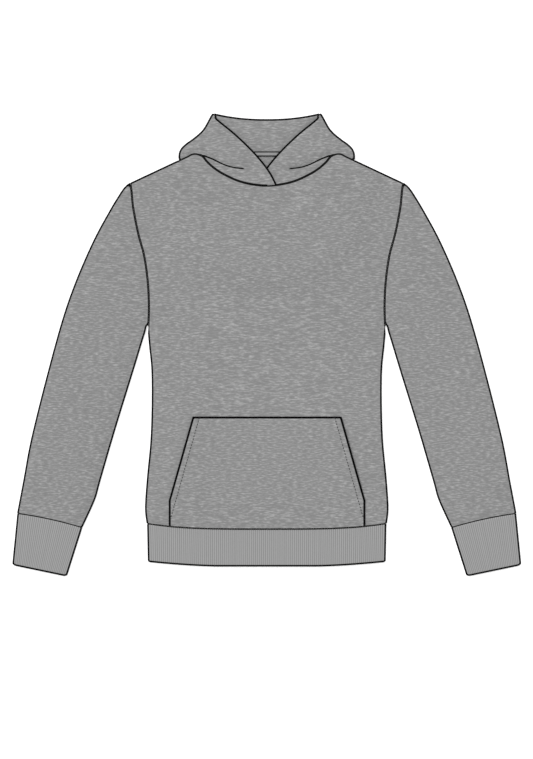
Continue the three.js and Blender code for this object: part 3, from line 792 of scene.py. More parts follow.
def pocketPanel():
    plan = pocketPlan()
    slack = smooth(np.abs(plan[..., 0]), *pocket["slackSide"])
    slack *= smooth(plan[..., 1] - pocket["cornerY"], *pocket["slackFoot"])
    slack *= 1 - smooth(plan[..., 1] - pocket["topY"], *pocket["slackTop"])
    above = cloth["fleece"] + cloth["layerGap"] + pocket["clear"]
    height = frontMiddle(plan) + above + pocket["slack"] * slack
    opening = straight(pocketCorner, pocketTop)
    toHem = distanceTo([opening, mirrored(opening)], plan) - pocket["foldWidth"]
    area = outlineArea(borderOf(plan))
    foot = hemLine(np.linspace(0, pocketCorner[0], 30))
    outline = np.vstack([foot[-1], pocketCorner, pocketTop, [0, pocketTop[1]]])
    lines = bothSides([(foot, "thinSeam"), (outline, "pocketEdge")])
    height += swellAt(plan, [line for line, kind in lines])
    # the turned hem stands up, and the stitch line at its inner edge draws the cloth down
    height += pocket["foldRise"] * (1 - smooth(toHem, *pocket["foldEase"]))
    height -= pocket["stitchDip"] * np.exp(-((toHem / pocket["stitchReach"]) ** 2))
    plan = plan + [pocket["shift"], 0]
    lines = [(line + [pocket["shift"], 0], kind) for line, kind in lines]
    piece = shell("pocketPanel", np.dstack([plan, height]), cloth["fleece"], fleece, lines)
    placed(piece, "pocket", sizeOf(plan), area)
    return plan, height


pocketPlanGrid, pocketHeight = pocketPanel()
print("pocket made")


# Flattened tubes

def section(width, shape, inset, crown, drop):  # across and up, from under the near edge round to it
    near = shape["height"] / 2
    radius = near - inset
    squeeze = (shape["height"] - drop) / shape["height"]
    span = width - shape["height"]
    under = np.arange(shape["under"]) / shape["under"]
    arc = np.arange(shape["arc"]) / shape["arc"] * math.pi
    top = np.arange(shape["top"]) / shape["top"]
    bulge = crown * (1 - (2 * top - 1) ** 4)
    out, rise = radius * np.sin(arc), radius * np.cos(arc)
    across = np.r_[near + span * under, near + span + out, near + span * (1 - top), near - out]
    upper = (shape["height"] - inset) * squeeze + bulge
    return across, np.r_[under * 0 + inset, (near - rise) * squeeze, upper, (near + rise) * squeeze]


def topMask(shape):  # one on a section's upper side, none below
    under = np.zeros(shape["under"])
    arc = np.arange(shape["arc"]) / shape["arc"]
    return np.r_[under, smooth(arc, 0.2, 1), np.ones(shape["top"]), 1 - smooth(arc, 0, 0.8)]


cuffs = {
    "height": 5.8,
    "under": 28,
    "arc": 7,
    "crown": 0.7,
    "seam": ((410.4, -278.0), (305.5, -300.9), 2.2),  # outer end, inner end, bow
    "opening": ((418.6, -362.2), (330.9, -380.5), 0.0),
    "corner": 4.0,  # radius of the corners at the opening
    "seamKind": "cuffSeam",
    "columnsPerRib": 6,
    "step": 6.5,
}
hemBand = {
    "height": 5.8,
    "under": 80,
    "arc": 7,
    "crown": 1.9,
    "foldY": -364.2,
    "foldHalf": 195.0,
    "corner": 2.0,
    "seamKind": "thinSeam",
    "flatHalf": 80,
    "rise": 7.4,
    "risePower": 1.6,
    "columnsPerRib": 6,
    "step": 6.5,
}


def bowed(ends, drop=0):  # a line between two ends with a slight bow, reaching a little past them
    start, end, bow = np.array(ends[0]), np.array(ends[1]), ends[2]
    ahead = unit(end - start)
    out = np.array([ahead[1], -ahead[0]])
    start = start - ahead * cloth["reach"] - out * drop
    end = end + ahead * cloth["reach"] - out * drop
    return lambda share: mix(start, end, share[:, None]) + out * bow * (4 * share * (1 - share))[:, None]


# Sleeves

sleeves = {
    "height": 5.0,
    "under": 34,
    "arc": 7,
    "top": 46,
    "bowFade": 5,  # the higher, the sooner the shoulder's curve straightens down the sleeve
    "cuffFade": 12,
    "edgeEase": 14,
    "outerReach": 1.9,
    "step": 5.0,
    "outer": [
        (224.4, 266.8), (230.6, 262.3), (235.0, 257.6), (241.1, 248.8), (257.4, 221.9), (284.2, 172.4),
        (313.1, 106.4), (336.2, 40.4), (363.4, -58.6), (387.8, -157.6), (400.1, -223.6),
        (410.4, -278.0),
    ],
    "inner": [
        (195.8, 32.2), (200.9, 23.9), (221.1, -42.1), (251.6, -141.1), (275.6, -223.6),
        (284.6, -255.0), (305.5, -300.9),
    ],
    # how far down each edge a section starts, and how much its middle stands up
    "sections": [
        (0, 0, 0.1), (0.04, 0.012, 0.4), (0.1, 0.03, 0.9), (0.19, 0.06, 1.4), (0.28, 0.1, 1.8),
        (0.37, 0.15, 2.1), (0.46, 0.22, 2.3), (0.55, 0.32, 2.4), (0.64, 0.43, 2.4),
        (0.73, 0.55, 2.3), (0.82, 0.68, 2.2), (0.9, 0.81, 2.0), (0.96, 0.92, 1.8), (1, 1, 1.3),
    ],
    "leftFolds": [
        seamFold(8, 1.3, (199, 44), (222, 34), (252, 30)),
        seamFold(9, 0.9, (196, 66), (220, 66), (244, 74)),
        seamFold(9, 1.2, (226, -58), (258, -48), (292, -52)),
        seamFold(8, 0.9, (238, -92), (266, -90), (300, -104)),
        fold(11, 0.8, (350, -12), (322, -22), (300, -18)),
        fold(8, 0.8, (392, -214), (366, -222), (340, -214)),
        seamFold(6, 0.8, (384, -276), (378, -252), (380, -232)),
        seamFold(6, 0.9, (338, -286), (336, -262), (326, -238)),
        fold(12, 0.6, (290, 150), (268, 138), (250, 140)),
    ],
    "rightFolds": [
        seamFold(9, 1.2, (198, 38), (224, 24), (250, 26)),
        seamFold(8, 0.9, (198, 84), (226, 80), (248, 88)),
        seamFold(9, 1.1, (218, -36), (250, -34), (280, -46)),
        seamFold(10, 1.1, (244, -112), (274, -118), (306, -112)),
        fold(11, 0.8, (362, -62), (334, -70), (310, -62)),
        seamFold(9, 0.8, (270, -206), (298, -204), (322, -214)),
        seamFold(6, 0.9, (370, -280), (366, -254), (358, -236)),
        seamFold(6, 0.8, (322, -292), (318, -268), (322, -246)),
        fold(12, 0.6, (296, 128), (276, 112), (256, 118)),
    ],
    "underFolds": [
        fold(10, -0.7, (230, 60), (262, 40), (290, 36)),
        fold(10, -0.8, (262, -70), (300, -64), (334, -84)),
        fold(9, -0.7, (300, -180), (330, -172), (362, -190)),
    ],
}


def sleeve(name, node, side, folds):
    seam = shifted(armholeLine, -cloth["seamGap"] / 2)[::-1]
    outerLine = shifted(dense(sleeves["outer"]), sleeves["outerReach"])
    innerLine = dense(sleeves["inner"])
    innerLine = shifted(innerLine, -cloth["reach"] * smooth(lengthOf(innerLine), 0, sleeves["edgeEase"]))
    seam = np.vstack([outerLine[:1], seam[1:-1], innerLine[:1]])
    cuffBow = bowed(cuffs["seam"])(np.array([0.5]))[0] - np.mean(cuffs["seam"][:2], axis=0)
    table = dense([(index, *row) for index, row in enumerate(sleeves["sections"])])
    length = lengthOf(outerLine)[-1]
    outer, inner = [], []
    for index in np.interp(spread(length, sleeves["step"]), table[:, 1], table[:, 0]):
        down, downInner, crown = [np.interp(index, table[:, 0], table[:, column]) for column in (1, 2, 3)]
        near, far = at(outerLine, down), at(innerLine, downInner)
        width = np.linalg.norm(far - near)
        for inset, rings in ((0, outer), (cloth["fleece"], inner)):
            across, up = section(width, sleeves, inset, crown, 0)
            share = (across / width)[:, None]
            bow = at(seam, share[:, 0]) - mix(seam[0], seam[-1], share)
            plan = mix(near, far, share) + bow * (1 - down) ** sleeves["bowFade"]
            plan = plan + cuffBow * 4 * share * (1 - share) * down ** sleeves["cuffFade"]
            rings.append(np.column_stack([plan, up]))
    outer, inner = np.array(outer), np.array(inner)
    upper = topMask(sleeves)
    cuffSeam = outer[-1, :, :2][upper > 0.99]
    plan = outer[..., :2]
    relief = upper * (foldHeights(plan, folds) + swellAt(plan, [seam[::2], cuffSeam]))
    relief += (1 - upper) * foldHeights(plan, sleeves["underFolds"]).clip(0, 1)
    toEdge = distanceTo([outerLine[::2], innerLine[::2]], plan)
    relief *= mix(0.35, 1, smooth(toEdge, 0, sleeves["edgeEase"]))
    outer[..., 2] += relief
    inner[..., 2] += relief
    floorToTop = (outer[..., 2] - cloth["fleece"]).clip(0.05)
    inner[..., 2] = np.where(upper > 0.5, np.minimum(inner[..., 2], floorToTop), inner[..., 2])
    flip = [side, 1, 1]
    lines = [(seam, "seam"), (cuffSeam, "cuffSeam"), (outerLine[::2], "edge"), (innerLine[::2], "edge")]
    piece = tube(name, outer * flip, inner * flip, fleece, flipped(lines, side))
    outline = np.vstack([outerLine, innerLine[::-1], seam[::-1]])
    widest = np.linalg.norm(seam[-1] - seam[0])
    placed(piece, node, (2 * widest, length), 2 * outlineArea(outline))


sleeve("leftSleeve", "sleeve_left", 1, sleeves["leftFolds"])
sleeve("rightSleeve", "sleeve_right", -1, sleeves["rightFolds"])
print("sleeves made")


# Ribbed cuffs and hem band

def openTree(name, numbers):  # a modifier's tree, which is given a shape, numbers and a material
    tree = bpy.data.node_groups.new(name, "GeometryNodeTree")
    floats = [(number, "Float") for number in numbers]
    sockets = [("Geometry", "Geometry"), *floats, ("Material", "Material")]
    for label, kind in sockets:
        tree.interface.new_socket(label, in_out="INPUT", socket_type="NodeSocket" + kind)
    tree.interface.new_socket("Geometry", in_out="OUTPUT", socket_type="NodeSocketGeometry")
    nodes = Nodes(tree)
    start = tree.nodes.new("NodeGroupInput")
    return nodes, {label: Wire(nodes, start.outputs[label]) for label, kind in sockets}


def closeTree(nodes, shape, material):
    whole = nodes.add("GeometryNodeRealizeInstances", inputs={0: shape})
    dressed = nodes.add("GeometryNodeSetMaterial", inputs={"Geometry": whole, "Material": material})
    end = nodes.tree.nodes.new("NodeGroupOutput")
    nodes.tree.links.new(dressed.socket, end.inputs[0])
    return nodes.tree


def ribTree():  # raises each rib along the cloth's normal
    nodes, given = openTree("raisedRibs", ("Height", "Flatness"))

    def named(name):
        settings = {"data_type": "FLOAT"}
        return nodes.add("GeometryNodeInputNamedAttribute", settings, {"Name": name}, "Attribute")

    crown = (named("ribPhase") * math.pi).sine().size().power(given["Flatness"])
    height = crown * named("ribShare") * given["Height"]
    normal = nodes.add("GeometryNodeInputNormal")
    offset = nodes.add("ShaderNodeVectorMath", {"operation": "SCALE"}, {0: normal, "Scale": height})
    inputs = {"Geometry": given["Geometry"], "Offset": offset}
    return closeTree(nodes, nodes.add("GeometryNodeSetPosition", inputs=inputs), given["Material"])


def applied(piece, tree, values):  # runs a tree on a piece and leaves a plain mesh
    modifier = piece.modifiers.new("nodes", "NODES")
    modifier.node_group = tree
    sockets = {item.name: item.identifier for item in tree.interface.items_tree if item.in_out == "INPUT"}
    for name, value in values.items():
        modifier[sockets[name]] = value
    graph = bpy.context.evaluated_depsgraph_get()
    graph.update()
    mesh = bpy.data.meshes.new_from_object(piece.evaluated_get(graph), depsgraph=graph)
    mesh.name = name = piece.name
    bpy.data.objects.remove(piece)
    return put(name, mesh)


ribbing = ribTree()
ribDrops = ((0, 0.7), (0.04, 0), (0.97, 0), (1, 0.9))  # how much lower a tube is, along its length


def ribbedTube(name, node, topLine, bottomLine, shape, side, restsOn):
    first, second = [line(np.linspace(0, 1, 60)) for line in (topLine, bottomLine)]
    width = np.linalg.norm(first[-1] - first[0])
    count = int(round((width - shape["height"]) / ribs["pitch"]))
    shape = {**shape, "top": count * shape["columnsPerRib"]}
    length = np.linalg.norm(first[30] - second[30])
    outer, inner = [], []
    for along in spread(length, shape["step"]):
        drop = np.interp(along, *zip(*ribDrops))
        here = np.linalg.norm(mix(first[0], second[0], along) - mix(first[-1], second[-1], along))
        fromEnd = max(shape["corner"] - (1 - along) * length, 0)
        tuck = shape["corner"] - math.sqrt(shape["corner"] ** 2 - fromEnd**2)
        for inset, rings in ((0, outer), (cloth["rib"], inner)):
            across, up = section(here - 2 * tuck, shape, inset, shape["crown"], drop if inset == 0 else 0)
            share = (across + tuck) / here
            plan = mix(topLine(share), bottomLine(share), along)
            rings.append(np.column_stack([plan, up]))
    outer, inner = np.array(outer), np.array(inner)
    top = np.arange(shape["top"]) / shape["columnsPerRib"]
    before = shape["under"] + shape["arc"]
    over = ribs["roundEdge"]
    below = np.linspace(count + over, -over, shape["under"], endpoint=False)
    far = np.linspace(-over, 0, shape["arc"], endpoint=False)
    phase = np.r_[below, far, top, far + count + over]
    share = np.r_[np.zeros(before), np.ones(shape["top"]), np.zeros(shape["arc"])]
    rows = np.ones((len(outer), 1))
    phase = phase * rows
    rows[[0, -1]] = 0.25  # the ribs flatten at both ends
    flip = [side, 1, 1]
    sides = outer[:, [shape["under"] + shape["arc"] // 2, -shape["arc"] // 2], :2]
    last = outer[-1, before:before + shape["top"], :2][::-4]
    edge = np.vstack([sides[:, 1], last, sides[::-1, 0]])
    lines = flipped([(first, shape["seamKind"]), (edge, "edge")], side)
    more = {"ribPhase": (phase, phase), "ribShare": (share * rows, 0 * share * rows)}
    piece = tube(name, outer * flip, inner * flip, ribKnit, lines, more)
    values = {"Height": ribs["height"] * mm, "Flatness": ribs["flatness"], "Material": ribKnit}
    piece = applied(piece, ribbing, values)
    outline = np.vstack([first, second[::-1]])
    longest = max(length, np.linalg.norm(first[0] - second[0]))
    placed(piece, node, (2 * width, longest), 2 * outlineArea(outline))


def hemTop(share):
    x = mix(1, -1, share) * (body["hemHalf"] + cloth["reach"])
    return hemLine(x, -cloth["seamGap"] / 2)


def hemFold(share):
    x = mix(1, -1, share) * (hemBand["foldHalf"] + cloth["reach"])
    past = np.maximum(np.abs(x) - hemBand["flatHalf"], 0) / (hemBand["foldHalf"] - hemBand["flatHalf"])
    return lineOf(x, hemBand["foldY"] - cloth["reach"] + hemBand["rise"] * past ** hemBand["risePower"])


cuffLines = (bowed(cuffs["seam"], drop=0.2), bowed(cuffs["opening"], drop=cloth["reach"]))
ribbedTube("leftCuff", "cuff_left", *cuffLines, cuffs, 1, [])
ribbedTube("rightCuff", "cuff_right", *cuffLines, cuffs, -1, [])
ribbedTube("hemBand", "hem_band", hemTop, hemFold, hemBand, 1, [])
print("ribbed cuffs and hem band made")


# Hood

hood = {
    "side": [
        (143.6, 304.4), (144.4, 311.1), (143.5, 317.6), (140.1, 324.2), (133.3, 330.9),
        (124.2, 337.4), (115.5, 344.1), (108.2, 350.6), (102.7, 357.2), (98.7, 363.9),
        (95.2, 370.4), (91.6, 377.1), (90.0, 379.6), (88.9, 380.7), (87.6, 381.0),
    ],
    "edge": [
        (-15.3, 263.8), (-13.3, 268.1), (-10.1, 274.8), (-6.5, 281.4), (-2.4, 287.9),
        (1.2, 293.0), (7.4, 301.1), (18.8, 314.4), (31.4, 327.6), (45.2, 340.8), (60.1, 353.9),
        (76.0, 366.6), (83.4, 372.9), (84.8, 375.6), (84.2, 377.8),
    ],
    "rollCentreY": 371.6,
    "rollRise": 9.5,
    "rollPower": 2.2,
    "rollHalf": 86.6,
    "rollReach": 4.6,
    "rollArea": 1440,  # mm2, of the cloth that turns down at the roll
    "backLength": 68,
    "backRise": 1.1,
    "backRiseFrom": (322, 345),
    "inSight": (2, 22),  # from a side's front edge, where the back's own folds start
    "wrapReach": 6.0,  # how far in from its outline a side starts to turn down
    "wrapShare": 0.4,
    "wrapFoot": 2.4,
    "wrapMore": 3.2,  # how much more cloth the turn takes than its width from above
    "standHalf": 107,
    "tapeFoot": (292, 307),  # heights where the sides start and stop lying on the tape
    "tapeTop": (321, 338),
    "overlapReach": 12,
    "overlapFade": 34,
    "puffFrom": (14, 46),  # from the other side's edge
    "puffEase": 16,
    "edgeReach": 1.4,
    "rows": 62,
    "firstRow": 0.032,
    "step": 2.4,
    "turns": 7,  # rows round a fold
    # the fold that runs from the shoulder across the front of the hood
    "crease": [
        (107.5, 312.6), (103.0, 312.0), (97.0, 309.9), (90.0, 307.1), (83.0, 303.8), (76.0, 300.3),
        (69.0, 297.2), (60.0, 294.2), (50.0, 292.3), (36.0, 290.9),
    ],
    "creaseDepth": 1.7,
    "creaseWidth": 2.4,
    "creaseEnd": 3,
    "creaseFade": 18,
    "noCrease": 60.0,  # mm from the crease, for the rows that turn down
    "puff": 2.2,
    "lowerPuff": 0.8,
    "leftFolds": [
        fold(6, 1.1, (138, 316), (118, 326), (92, 330)),
        fold(6, 0.9, (96, 364), (78, 348), (62, 336)),
        fold(6, 0.8, (60, 318), (44, 306), (26, 300)),
    ],
    "rightFolds": [
        fold(6, 1.0, (136, 322), (112, 322), (88, 318)),
        fold(7, 1.1, (98, 356), (84, 340), (64, 326)),
        fold(5, 0.7, (50, 326), (38, 312), (24, 304)),
    ],
    "backFolds": [
        fold(7, 0.7, (-50, 356), (-12, 348), (30, 350)),
        fold(6, 0.5, (-24, 338), (4, 334), (26, 338)),
    ],
}
layerStep = cloth["fleece"] + cloth["layerGap"]
standMiddle = pouch["lift"] + cloth["fleece"] / 2
lapMiddle = standMiddle + layerStep + cloth["pressed"]
tapeTop = standMiddle + cloth["fleece"] / 2 + cloth["layerGap"] + cloth["tape"]


def rollY(x):
    rise = hood["rollRise"] * np.clip(np.abs(x) / hood["rollHalf"], 0, 1) ** hood["rollPower"]
    return hood["rollCentreY"] + cloth["reach"] + rise


def foldedDown(flat, height, outer, angle):  # takes a sheet's middle round and down at its outer line
    plan = mix(flat, outer, math.sin(angle))
    return np.column_stack([plan, mix(hood["wrapFoot"], height, math.cos(angle))])


foldTurns = np.linspace(0, math.pi / 2, hood["turns"] + 1)[1:]


def edgeX(y):
    rows = np.array(hood["edge"])
    return np.interp(y, rows[:, 1], rows[:, 0])


def hoodBack():
    half = np.linspace(-1, 1, 73)
    x = half * hood["standHalf"]
    bottom = lineOf(x, backNeckY(x) + cloth["seamGap"] / 2)
    x = half * hood["rollHalf"]
    roll = lineOf(x, rollY(x))
    top, outer = roll - [0, hood["rollReach"]], roll - [0, cloth["fleece"] / 2]
    v = np.linspace(0, 1, 22)
    right = mix(bottom[-1], top[-1], v[:, None])
    plan = coons(bottom, top, mirrored(right), right, (half + 1) / 2, v)
    inSight = smooth(edgeX(plan[..., 1]) - np.abs(plan[..., 0]), *hood["inSight"])
    relief = hood["backRise"] * smooth(plan[..., 1], *hood["backRiseFrom"])
    relief += foldHeights(plan, hood["backFolds"])
    height = standMiddle + np.where(plan[..., 1] < hood["backRiseFrom"][0], 0, inSight * relief)
    rows = [np.column_stack([line, level]) for line, level in zip(plan, height)]
    rows += [foldedDown(plan[-1], height[-1], outer, angle) for angle in foldTurns]
    lines = [(bottom, "seam"), (roll, "hoodEdge")]
    piece = shell("hoodBack", np.array(rows), cloth["fleece"], fleece, lines)
    size = (2 * hood["standHalf"], hood["backLength"])
    area = outlineArea(borderOf(plan)) + hood["rollArea"]
    placed(piece, "hood_back", size, area)


def hoodSide(name, node, side, overlapping, folds):
    v = np.r_[0, np.linspace(hood["firstRow"], 1, hood["rows"])]
    onShoulder = shoulderLine[shoulderLine[:, 0] < hood["side"][0][0]]
    seam = np.vstack([hood["side"][0], onShoulder, neckLine[1:], hood["edge"][0]])
    seam = shifted(seam, -cloth["seamGap"] / 2)
    silhouette = at(shifted(dense(hood["side"]), -cloth["reach"]), v)
    edge = at(shifted(dense(hood["edge"]), hood["edgeReach"]), v)
    seam[-1] = edge[0]
    gap = np.linalg.norm(silhouette - edge, axis=1)[:, None]
    ahead = unit(seam[6] - seam[0])
    inwards = mix(ahead, (edge - silhouette) / gap, smooth(v, 0, 0.3)[:, None])
    flatSide = silhouette + inwards * np.minimum(hood["wrapReach"], gap * hood["wrapShare"])
    outer = shifted(silhouette, cloth["fleece"] / 2)
    flatSide[0] = seam[0] + ahead * hood["wrapReach"]
    outer[0] = mix(seam[0], silhouette[0], 0.7) + ahead * cloth["fleece"] / 2
    lower = np.vstack([flatSide[0], seam[seam[:, 0] < flatSide[0, 0] - 1]])
    u = spread(lengthOf(lower)[-1], hood["step"], nearStart=False)
    share = u[:, None]
    top = mix(flatSide[-1], edge[-1], share)
    plan = coons(at(lower, u), top, flatSide, edge, u, v)
    x, y = plan[..., 0], plan[..., 1]
    nearTape = smooth(y, *hood["tapeFoot"]) * (1 - smooth(y, *hood["tapeTop"]))
    overTape = nearTape * (1 - smooth(x, tape["half"] + 2, tape["half"] + 16))
    fromOther = x + edgeX(y)
    overOther = 1 - smooth(fromOther, hood["overlapReach"], hood["overlapFade"]) if overlapping else 0
    crease = dense(hood["crease"], 8)
    away, along = nearestOn(crease, plan)
    creaseLength = lengthOf(crease)[-1]
    creaseShare = 1 - smooth(along, creaseLength - hood["creaseEnd"], creaseLength)
    fading = 1 - smooth(along, creaseLength - hood["creaseFade"], creaseLength)
    trough = -hood["creaseDepth"] * fading * np.exp(-((away / hood["creaseWidth"]) ** 2))
    inside = smooth(distanceTo([lower, edge, flatSide], plan), 0, hood["puffEase"])
    puff = mix(hood["lowerPuff"], hood["puff"], smooth(-away, 0, 14)) + foldHeights(plan, folds)
    laid = lapMiddle + tape["raise"] * overTape
    height = laid + layerStep * overOther + smooth(fromOther, *hood["puffFrom"]) * inside * puff
    height += trough * smooth(distanceTo([lower], plan), 0, 3)
    height = np.maximum(height, laid - cloth["pressed"])
    wraps = [foldedDown(plan[:, 0], height[:, 0], outer, angle) for angle in foldTurns[::-1]]
    flat = [np.column_stack([plan[:, column], height[:, column]]) for column in range(len(u))]
    grid = np.stack(wraps + flat, axis=1) * [side, 1, 1]
    pad = np.full((len(v), len(wraps)), hood["noCrease"])
    # crease and creaseShare place the painted shade along the crease
    more = {"crease": np.hstack([pad, away]), "creaseShare": np.hstack([pad * 0, creaseShare])}
    onShoulder, onNeck = seam[:len(onShoulder) + 1], seam[len(onShoulder):-1]
    lines = [
        (onShoulder, "shoulderSeam"), (onNeck, "seam"), (edge, "lapEdge"),
        (silhouette, "hoodEdge"), (top, "seam"),
    ]
    piece = shell(name, grid, cloth["fleece"], creasedFleece, flipped(lines, side), more)
    outline = np.vstack([silhouette, top, edge[::-1], seam[::-1]])
    size = sizeOf(plan)
    area = outlineArea(outline) + lengthOf(silhouette)[-1] * hood["wrapMore"]
    placed(piece, node, (size[0] + 9, size[1] + 4), area)


def hoodPouch():  # two layers, one on the other, with a groove between them round the edge
    half = cloth["fleece"] / 2
    arc = np.linspace(-math.pi / 2, math.pi / 2, cloth["rimSteps"] + 1)
    profile = [(half * (1 - math.cos(a)), half + half * math.sin(a)) for a in arc]
    profile += [(inset, z + cloth["fleece"]) for inset, z in profile[1:]]
    ahead = unit(np.roll(pouchLine, -1, axis=0) - np.roll(pouchLine, 1, axis=0))
    inward = lineOf(ahead[:, 1], -ahead[:, 0])  # the outline runs clockwise
    flatEdge = pouch["flatEdge"]
    profile = [(flatEdge, 0), *profile, (flatEdge, profile[-1][1])]
    rings = np.array([raisedLine(pouchLine + inward * inset, z) for inset, z in profile])
    ids = np.arange(rings.shape[0] * rings.shape[1]).reshape(rings.shape[:2])
    points = rings.reshape(-1, 3)
    caps = [ids[0, ::-1], ids[-1]]
    faces = quads(ids, closed=True)
    piece = clothMesh("hoodPouch", points, faces, fleece, [], points[:, :2], caps=caps)
    placed(piece, "hood_pouch", sizeOf(pouchLine), outlineArea(pouchLine))


def tapeLine(x, offset):
    return lineOf(x, backNeckY(x) + tape["offset"] + offset)


def neckTape():
    x = np.linspace(-tape["half"], tape["half"], 61)
    across = np.linspace(-0.5, 0.5, 13) * tape["width"]
    grid = np.array([raisedLine(tapeLine(x, offset), tapeTop - cloth["tape"] / 2) for offset in across])
    lines = [(tapeLine(x, offset), "tape") for offset in (-tape["lines"], tape["lines"])]
    piece = shell("neckTape", grid, cloth["tape"], tapeTwill, lines)
    size = (2 * tape["half"], tape["cutWidth"])
    placed(piece, "neck_tape", size, outlineArea(borderOf(grid)))


hoodBack()
hoodSide("hoodRight", "hood_right", -1, True, hood["rightFolds"])
hoodSide("hoodLeft", "hood_left", 1, False, hood["leftFolds"])
hoodPouch()
neckTape()
print("hood and neck tape made")


# Stitches

def stitchTree():  # beads laid end to end along a line
    nodes, given = openTree("stitchRow", ("Spacing", "Length", "Thickness"))
    inputs = {"Curve": given["Geometry"], "Length": given["Spacing"]}
    row = nodes.add("GeometryNodeResampleCurve", {"mode": "LENGTH"}, inputs)
    bead = nodes.add("GeometryNodeMeshUVSphere", inputs={"Segments": 7, "Rings": 5, "Radius": 0.5})
    bead = nodes.add("GeometryNodeSetShadeSmooth", inputs={0: bead})
    size = {0: given["Length"], 1: given["Thickness"], 2: given["Thickness"]}
    scale = nodes.add("ShaderNodeCombineXYZ", inputs=size)
    along = nodes.add("GeometryNodeInputTangent")
    turn = nodes.add("FunctionNodeAlignRotationToVector", {"axis": "X"}, {"Vector": along})
    inputs = {"Points": row, "Instance": bead, "Rotation": turn, "Scale": scale}
    laid = nodes.add("GeometryNodeInstanceOnPoints", inputs=inputs)
    return closeTree(nodes, laid, given["Material"])


stitching = {  # spacing, length, thickness and thread
    "seam": (2.6, 2.4, 1.0, seamThread),
    "thinSeam": (2.6, 2.2, 0.7, seamThread),
    "pocket": (5.0, 3.8, 1.5, topstitchThread),
    "tape": (2.6, 2.0, 0.7, seamThread),
}
# heights above the cloth's middle, and on the cuffs above their tops
stitchRise = {"armhole": 0.8, "neck": 0.75, "hem": 0.9, "cuff": -0.3}
rowOfStitches = stitchTree()


def stitched(name, lines, kind):  # stitches along lines of points in 3D
    curve = bpy.data.curves.new(name, "CURVE")
    curve.dimensions = "3D"
    for line in lines:
        spline = curve.splines.new("POLY")
        spline.points.add(len(line) - 1)
        spline.points.foreach_set("co", np.column_stack([line * mm, np.ones(len(line))]).ravel())
    *sizes, thread = stitching[kind]
    values = {key: size * mm for key, size in zip(("Spacing", "Length", "Thickness"), sizes)}
    piece = applied(put(name, curve), rowOfStitches, {**values, "Material": thread})
    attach(piece, "root")


def surfaceAt(plan, height, points):  # the nearest grid point's height
    flat, levels = plan.reshape(-1, 2), height.reshape(-1)
    return np.array([levels[np.argmin(((flat - point) ** 2).sum(axis=1))] for point in points])


def seamStitches():
    middle = cloth["fleece"] * 1.5 + cloth["layerGap"]
    armholes = raisedLine(evenly(armholeLine, 60), middle + stitchRise["armhole"])
    onShoulder = shoulderLine[shoulderLine[:, 0] < body["hoodMeets"] - 2]
    neck = np.vstack([onShoulder, neckLine[1:]])
    neck = raisedLine(np.vstack([neck, mirrored(neck)[-2::-1]]), lapMiddle + stitchRise["neck"])
    hem = hemLine(np.linspace(-body["hemHalf"] + 1, body["hemHalf"] - 1, 90))
    hem = raisedLine(hem, frontMiddle(hem) + stitchRise["hem"])
    share = np.linspace(0.015, 0.985, 20)
    cuff = raisedLine(bowed(cuffs["seam"])(share), cuffs["height"] + stitchRise["cuff"])
    flip = [-1, 1, 1]
    stitched("seamStitches", [armholes, armholes * flip, neck], "seam")
    stitched("ribSeamStitches", [hem, cuff, cuff * flip], "thinSeam")


def pocketStitches():
    line = shifted(straight(pocketCorner, pocketTop), pocket["foldWidth"])
    ahead = unit(pocketTop - pocketCorner)
    low = line[0] + ahead * (pocket["bottomHalf"] - 3 - line[0][0]) / ahead[0]
    high = line[-1] + ahead * (pocket["topY"] - 3.2 - line[-1][1]) / ahead[1]
    line = straight(low, high, 40)
    rows = [side + [pocket["shift"], 0] for side in (line, mirrored(line))]
    above = cloth["fleece"] / 2 + 0.05
    rows = [raisedLine(row, surfaceAt(pocketPlanGrid, pocketHeight, row) + above) for row in rows]
    stitched("pocketStitches", rows, "pocket")


def tapeStitches():
    x = np.linspace(-tape["half"] + 2, tape["half"] - 2, 40)
    rows = [raisedLine(tapeLine(x, offset), tapeTop) for offset in (-tape["lines"], tape["lines"])]
    stitched("tapeStitches", rows, "tape")


seamStitches()
pocketStitches()
tapeStitches()
print("stitches made")


# Floor, light and camera

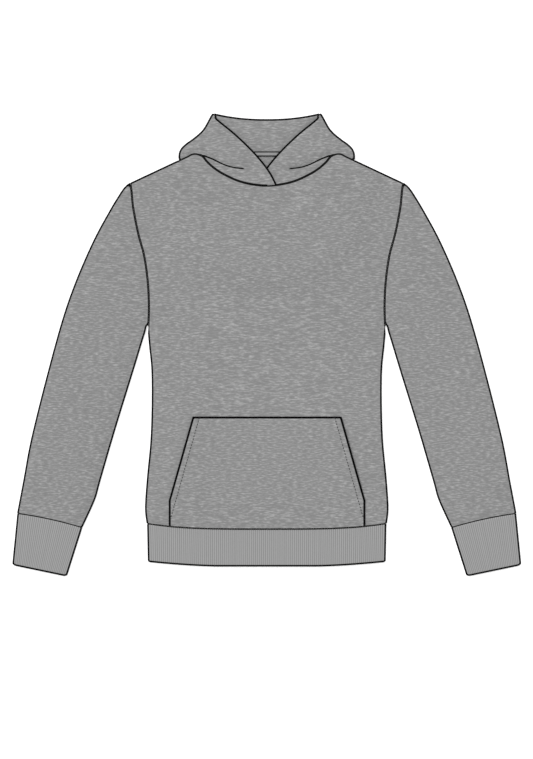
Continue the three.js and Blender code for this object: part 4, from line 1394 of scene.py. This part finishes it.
studio = {
    "floor": 0.9,
    "floorGlow": 0.45,
    "floorHalf": 4.0,  # m
    "floorGap": 0.2,
    "sky": 0.66,
    "sun": 1.86,
    "sunAngle": 50,
    "sunTilt": (-28, -22, 0),  # degrees, from the upper left
    "frameHeight": 1252.35,
    "centre": (-0.4, -56.9),
    "lens": 400,  # a long lens, as the drawing shows no perspective
    "sensor": 36,
    "plane": 7.0,  # the height that the frame's size is taken at
}


def makeFloor():
    mesh = bpy.data.meshes.new("floor")
    half = studio["floorHalf"]
    corners = [(-half, -half, 0), (half, -half, 0), (half, half, 0), (-half, half, 0)]
    mesh.from_pydata(corners, [], [(0, 1, 2, 3)])
    floor = put("floor", mesh)
    floor.location.z = -studio["floorGap"] * mm
    material = bpy.data.materials.new("palePaper")
    material.use_nodes = True
    shader = material.node_tree.nodes["Principled BSDF"]
    shader.inputs["Base Color"].default_value = (studio["floor"],) * 3 + (1,)
    shader.inputs["Roughness"].default_value = 1.0
    shader.inputs["Specular IOR Level"].default_value = 0.0
    shader.inputs["Emission Color"].default_value = (1, 1, 1, 1)
    shader.inputs["Emission Strength"].default_value = studio["floorGlow"]
    mesh.materials.append(material)


def makeLights():
    world = bpy.data.worlds.new("softSky")
    world.use_nodes = True
    background = world.node_tree.nodes["Background"]
    background.inputs["Color"].default_value = (1, 1, 1, 1)
    background.inputs["Strength"].default_value = studio["sky"]
    bpy.context.scene.world = world
    light = bpy.data.lights.new("softbox", "SUN")
    light.energy = studio["sun"]
    light.angle = math.radians(studio["sunAngle"])
    lamp = put("softbox", light)
    lamp.rotation_euler = [math.radians(value) for value in studio["sunTilt"]]


def makeCamera():
    data = bpy.data.cameras.new("camera")
    data.lens = studio["lens"]
    data.sensor_width = studio["sensor"]
    data.clip_end = 50
    camera = put("camera", data)
    distance = studio["frameHeight"] * studio["lens"] / studio["sensor"]
    place = (*studio["centre"], distance + studio["plane"])
    camera.location = [value * mm for value in place]
    bpy.context.scene.camera = camera
    bpy.context.scene.view_settings.view_transform = "Standard"


makeFloor()
makeLights()
makeCamera()
print("floor, light and camera made")
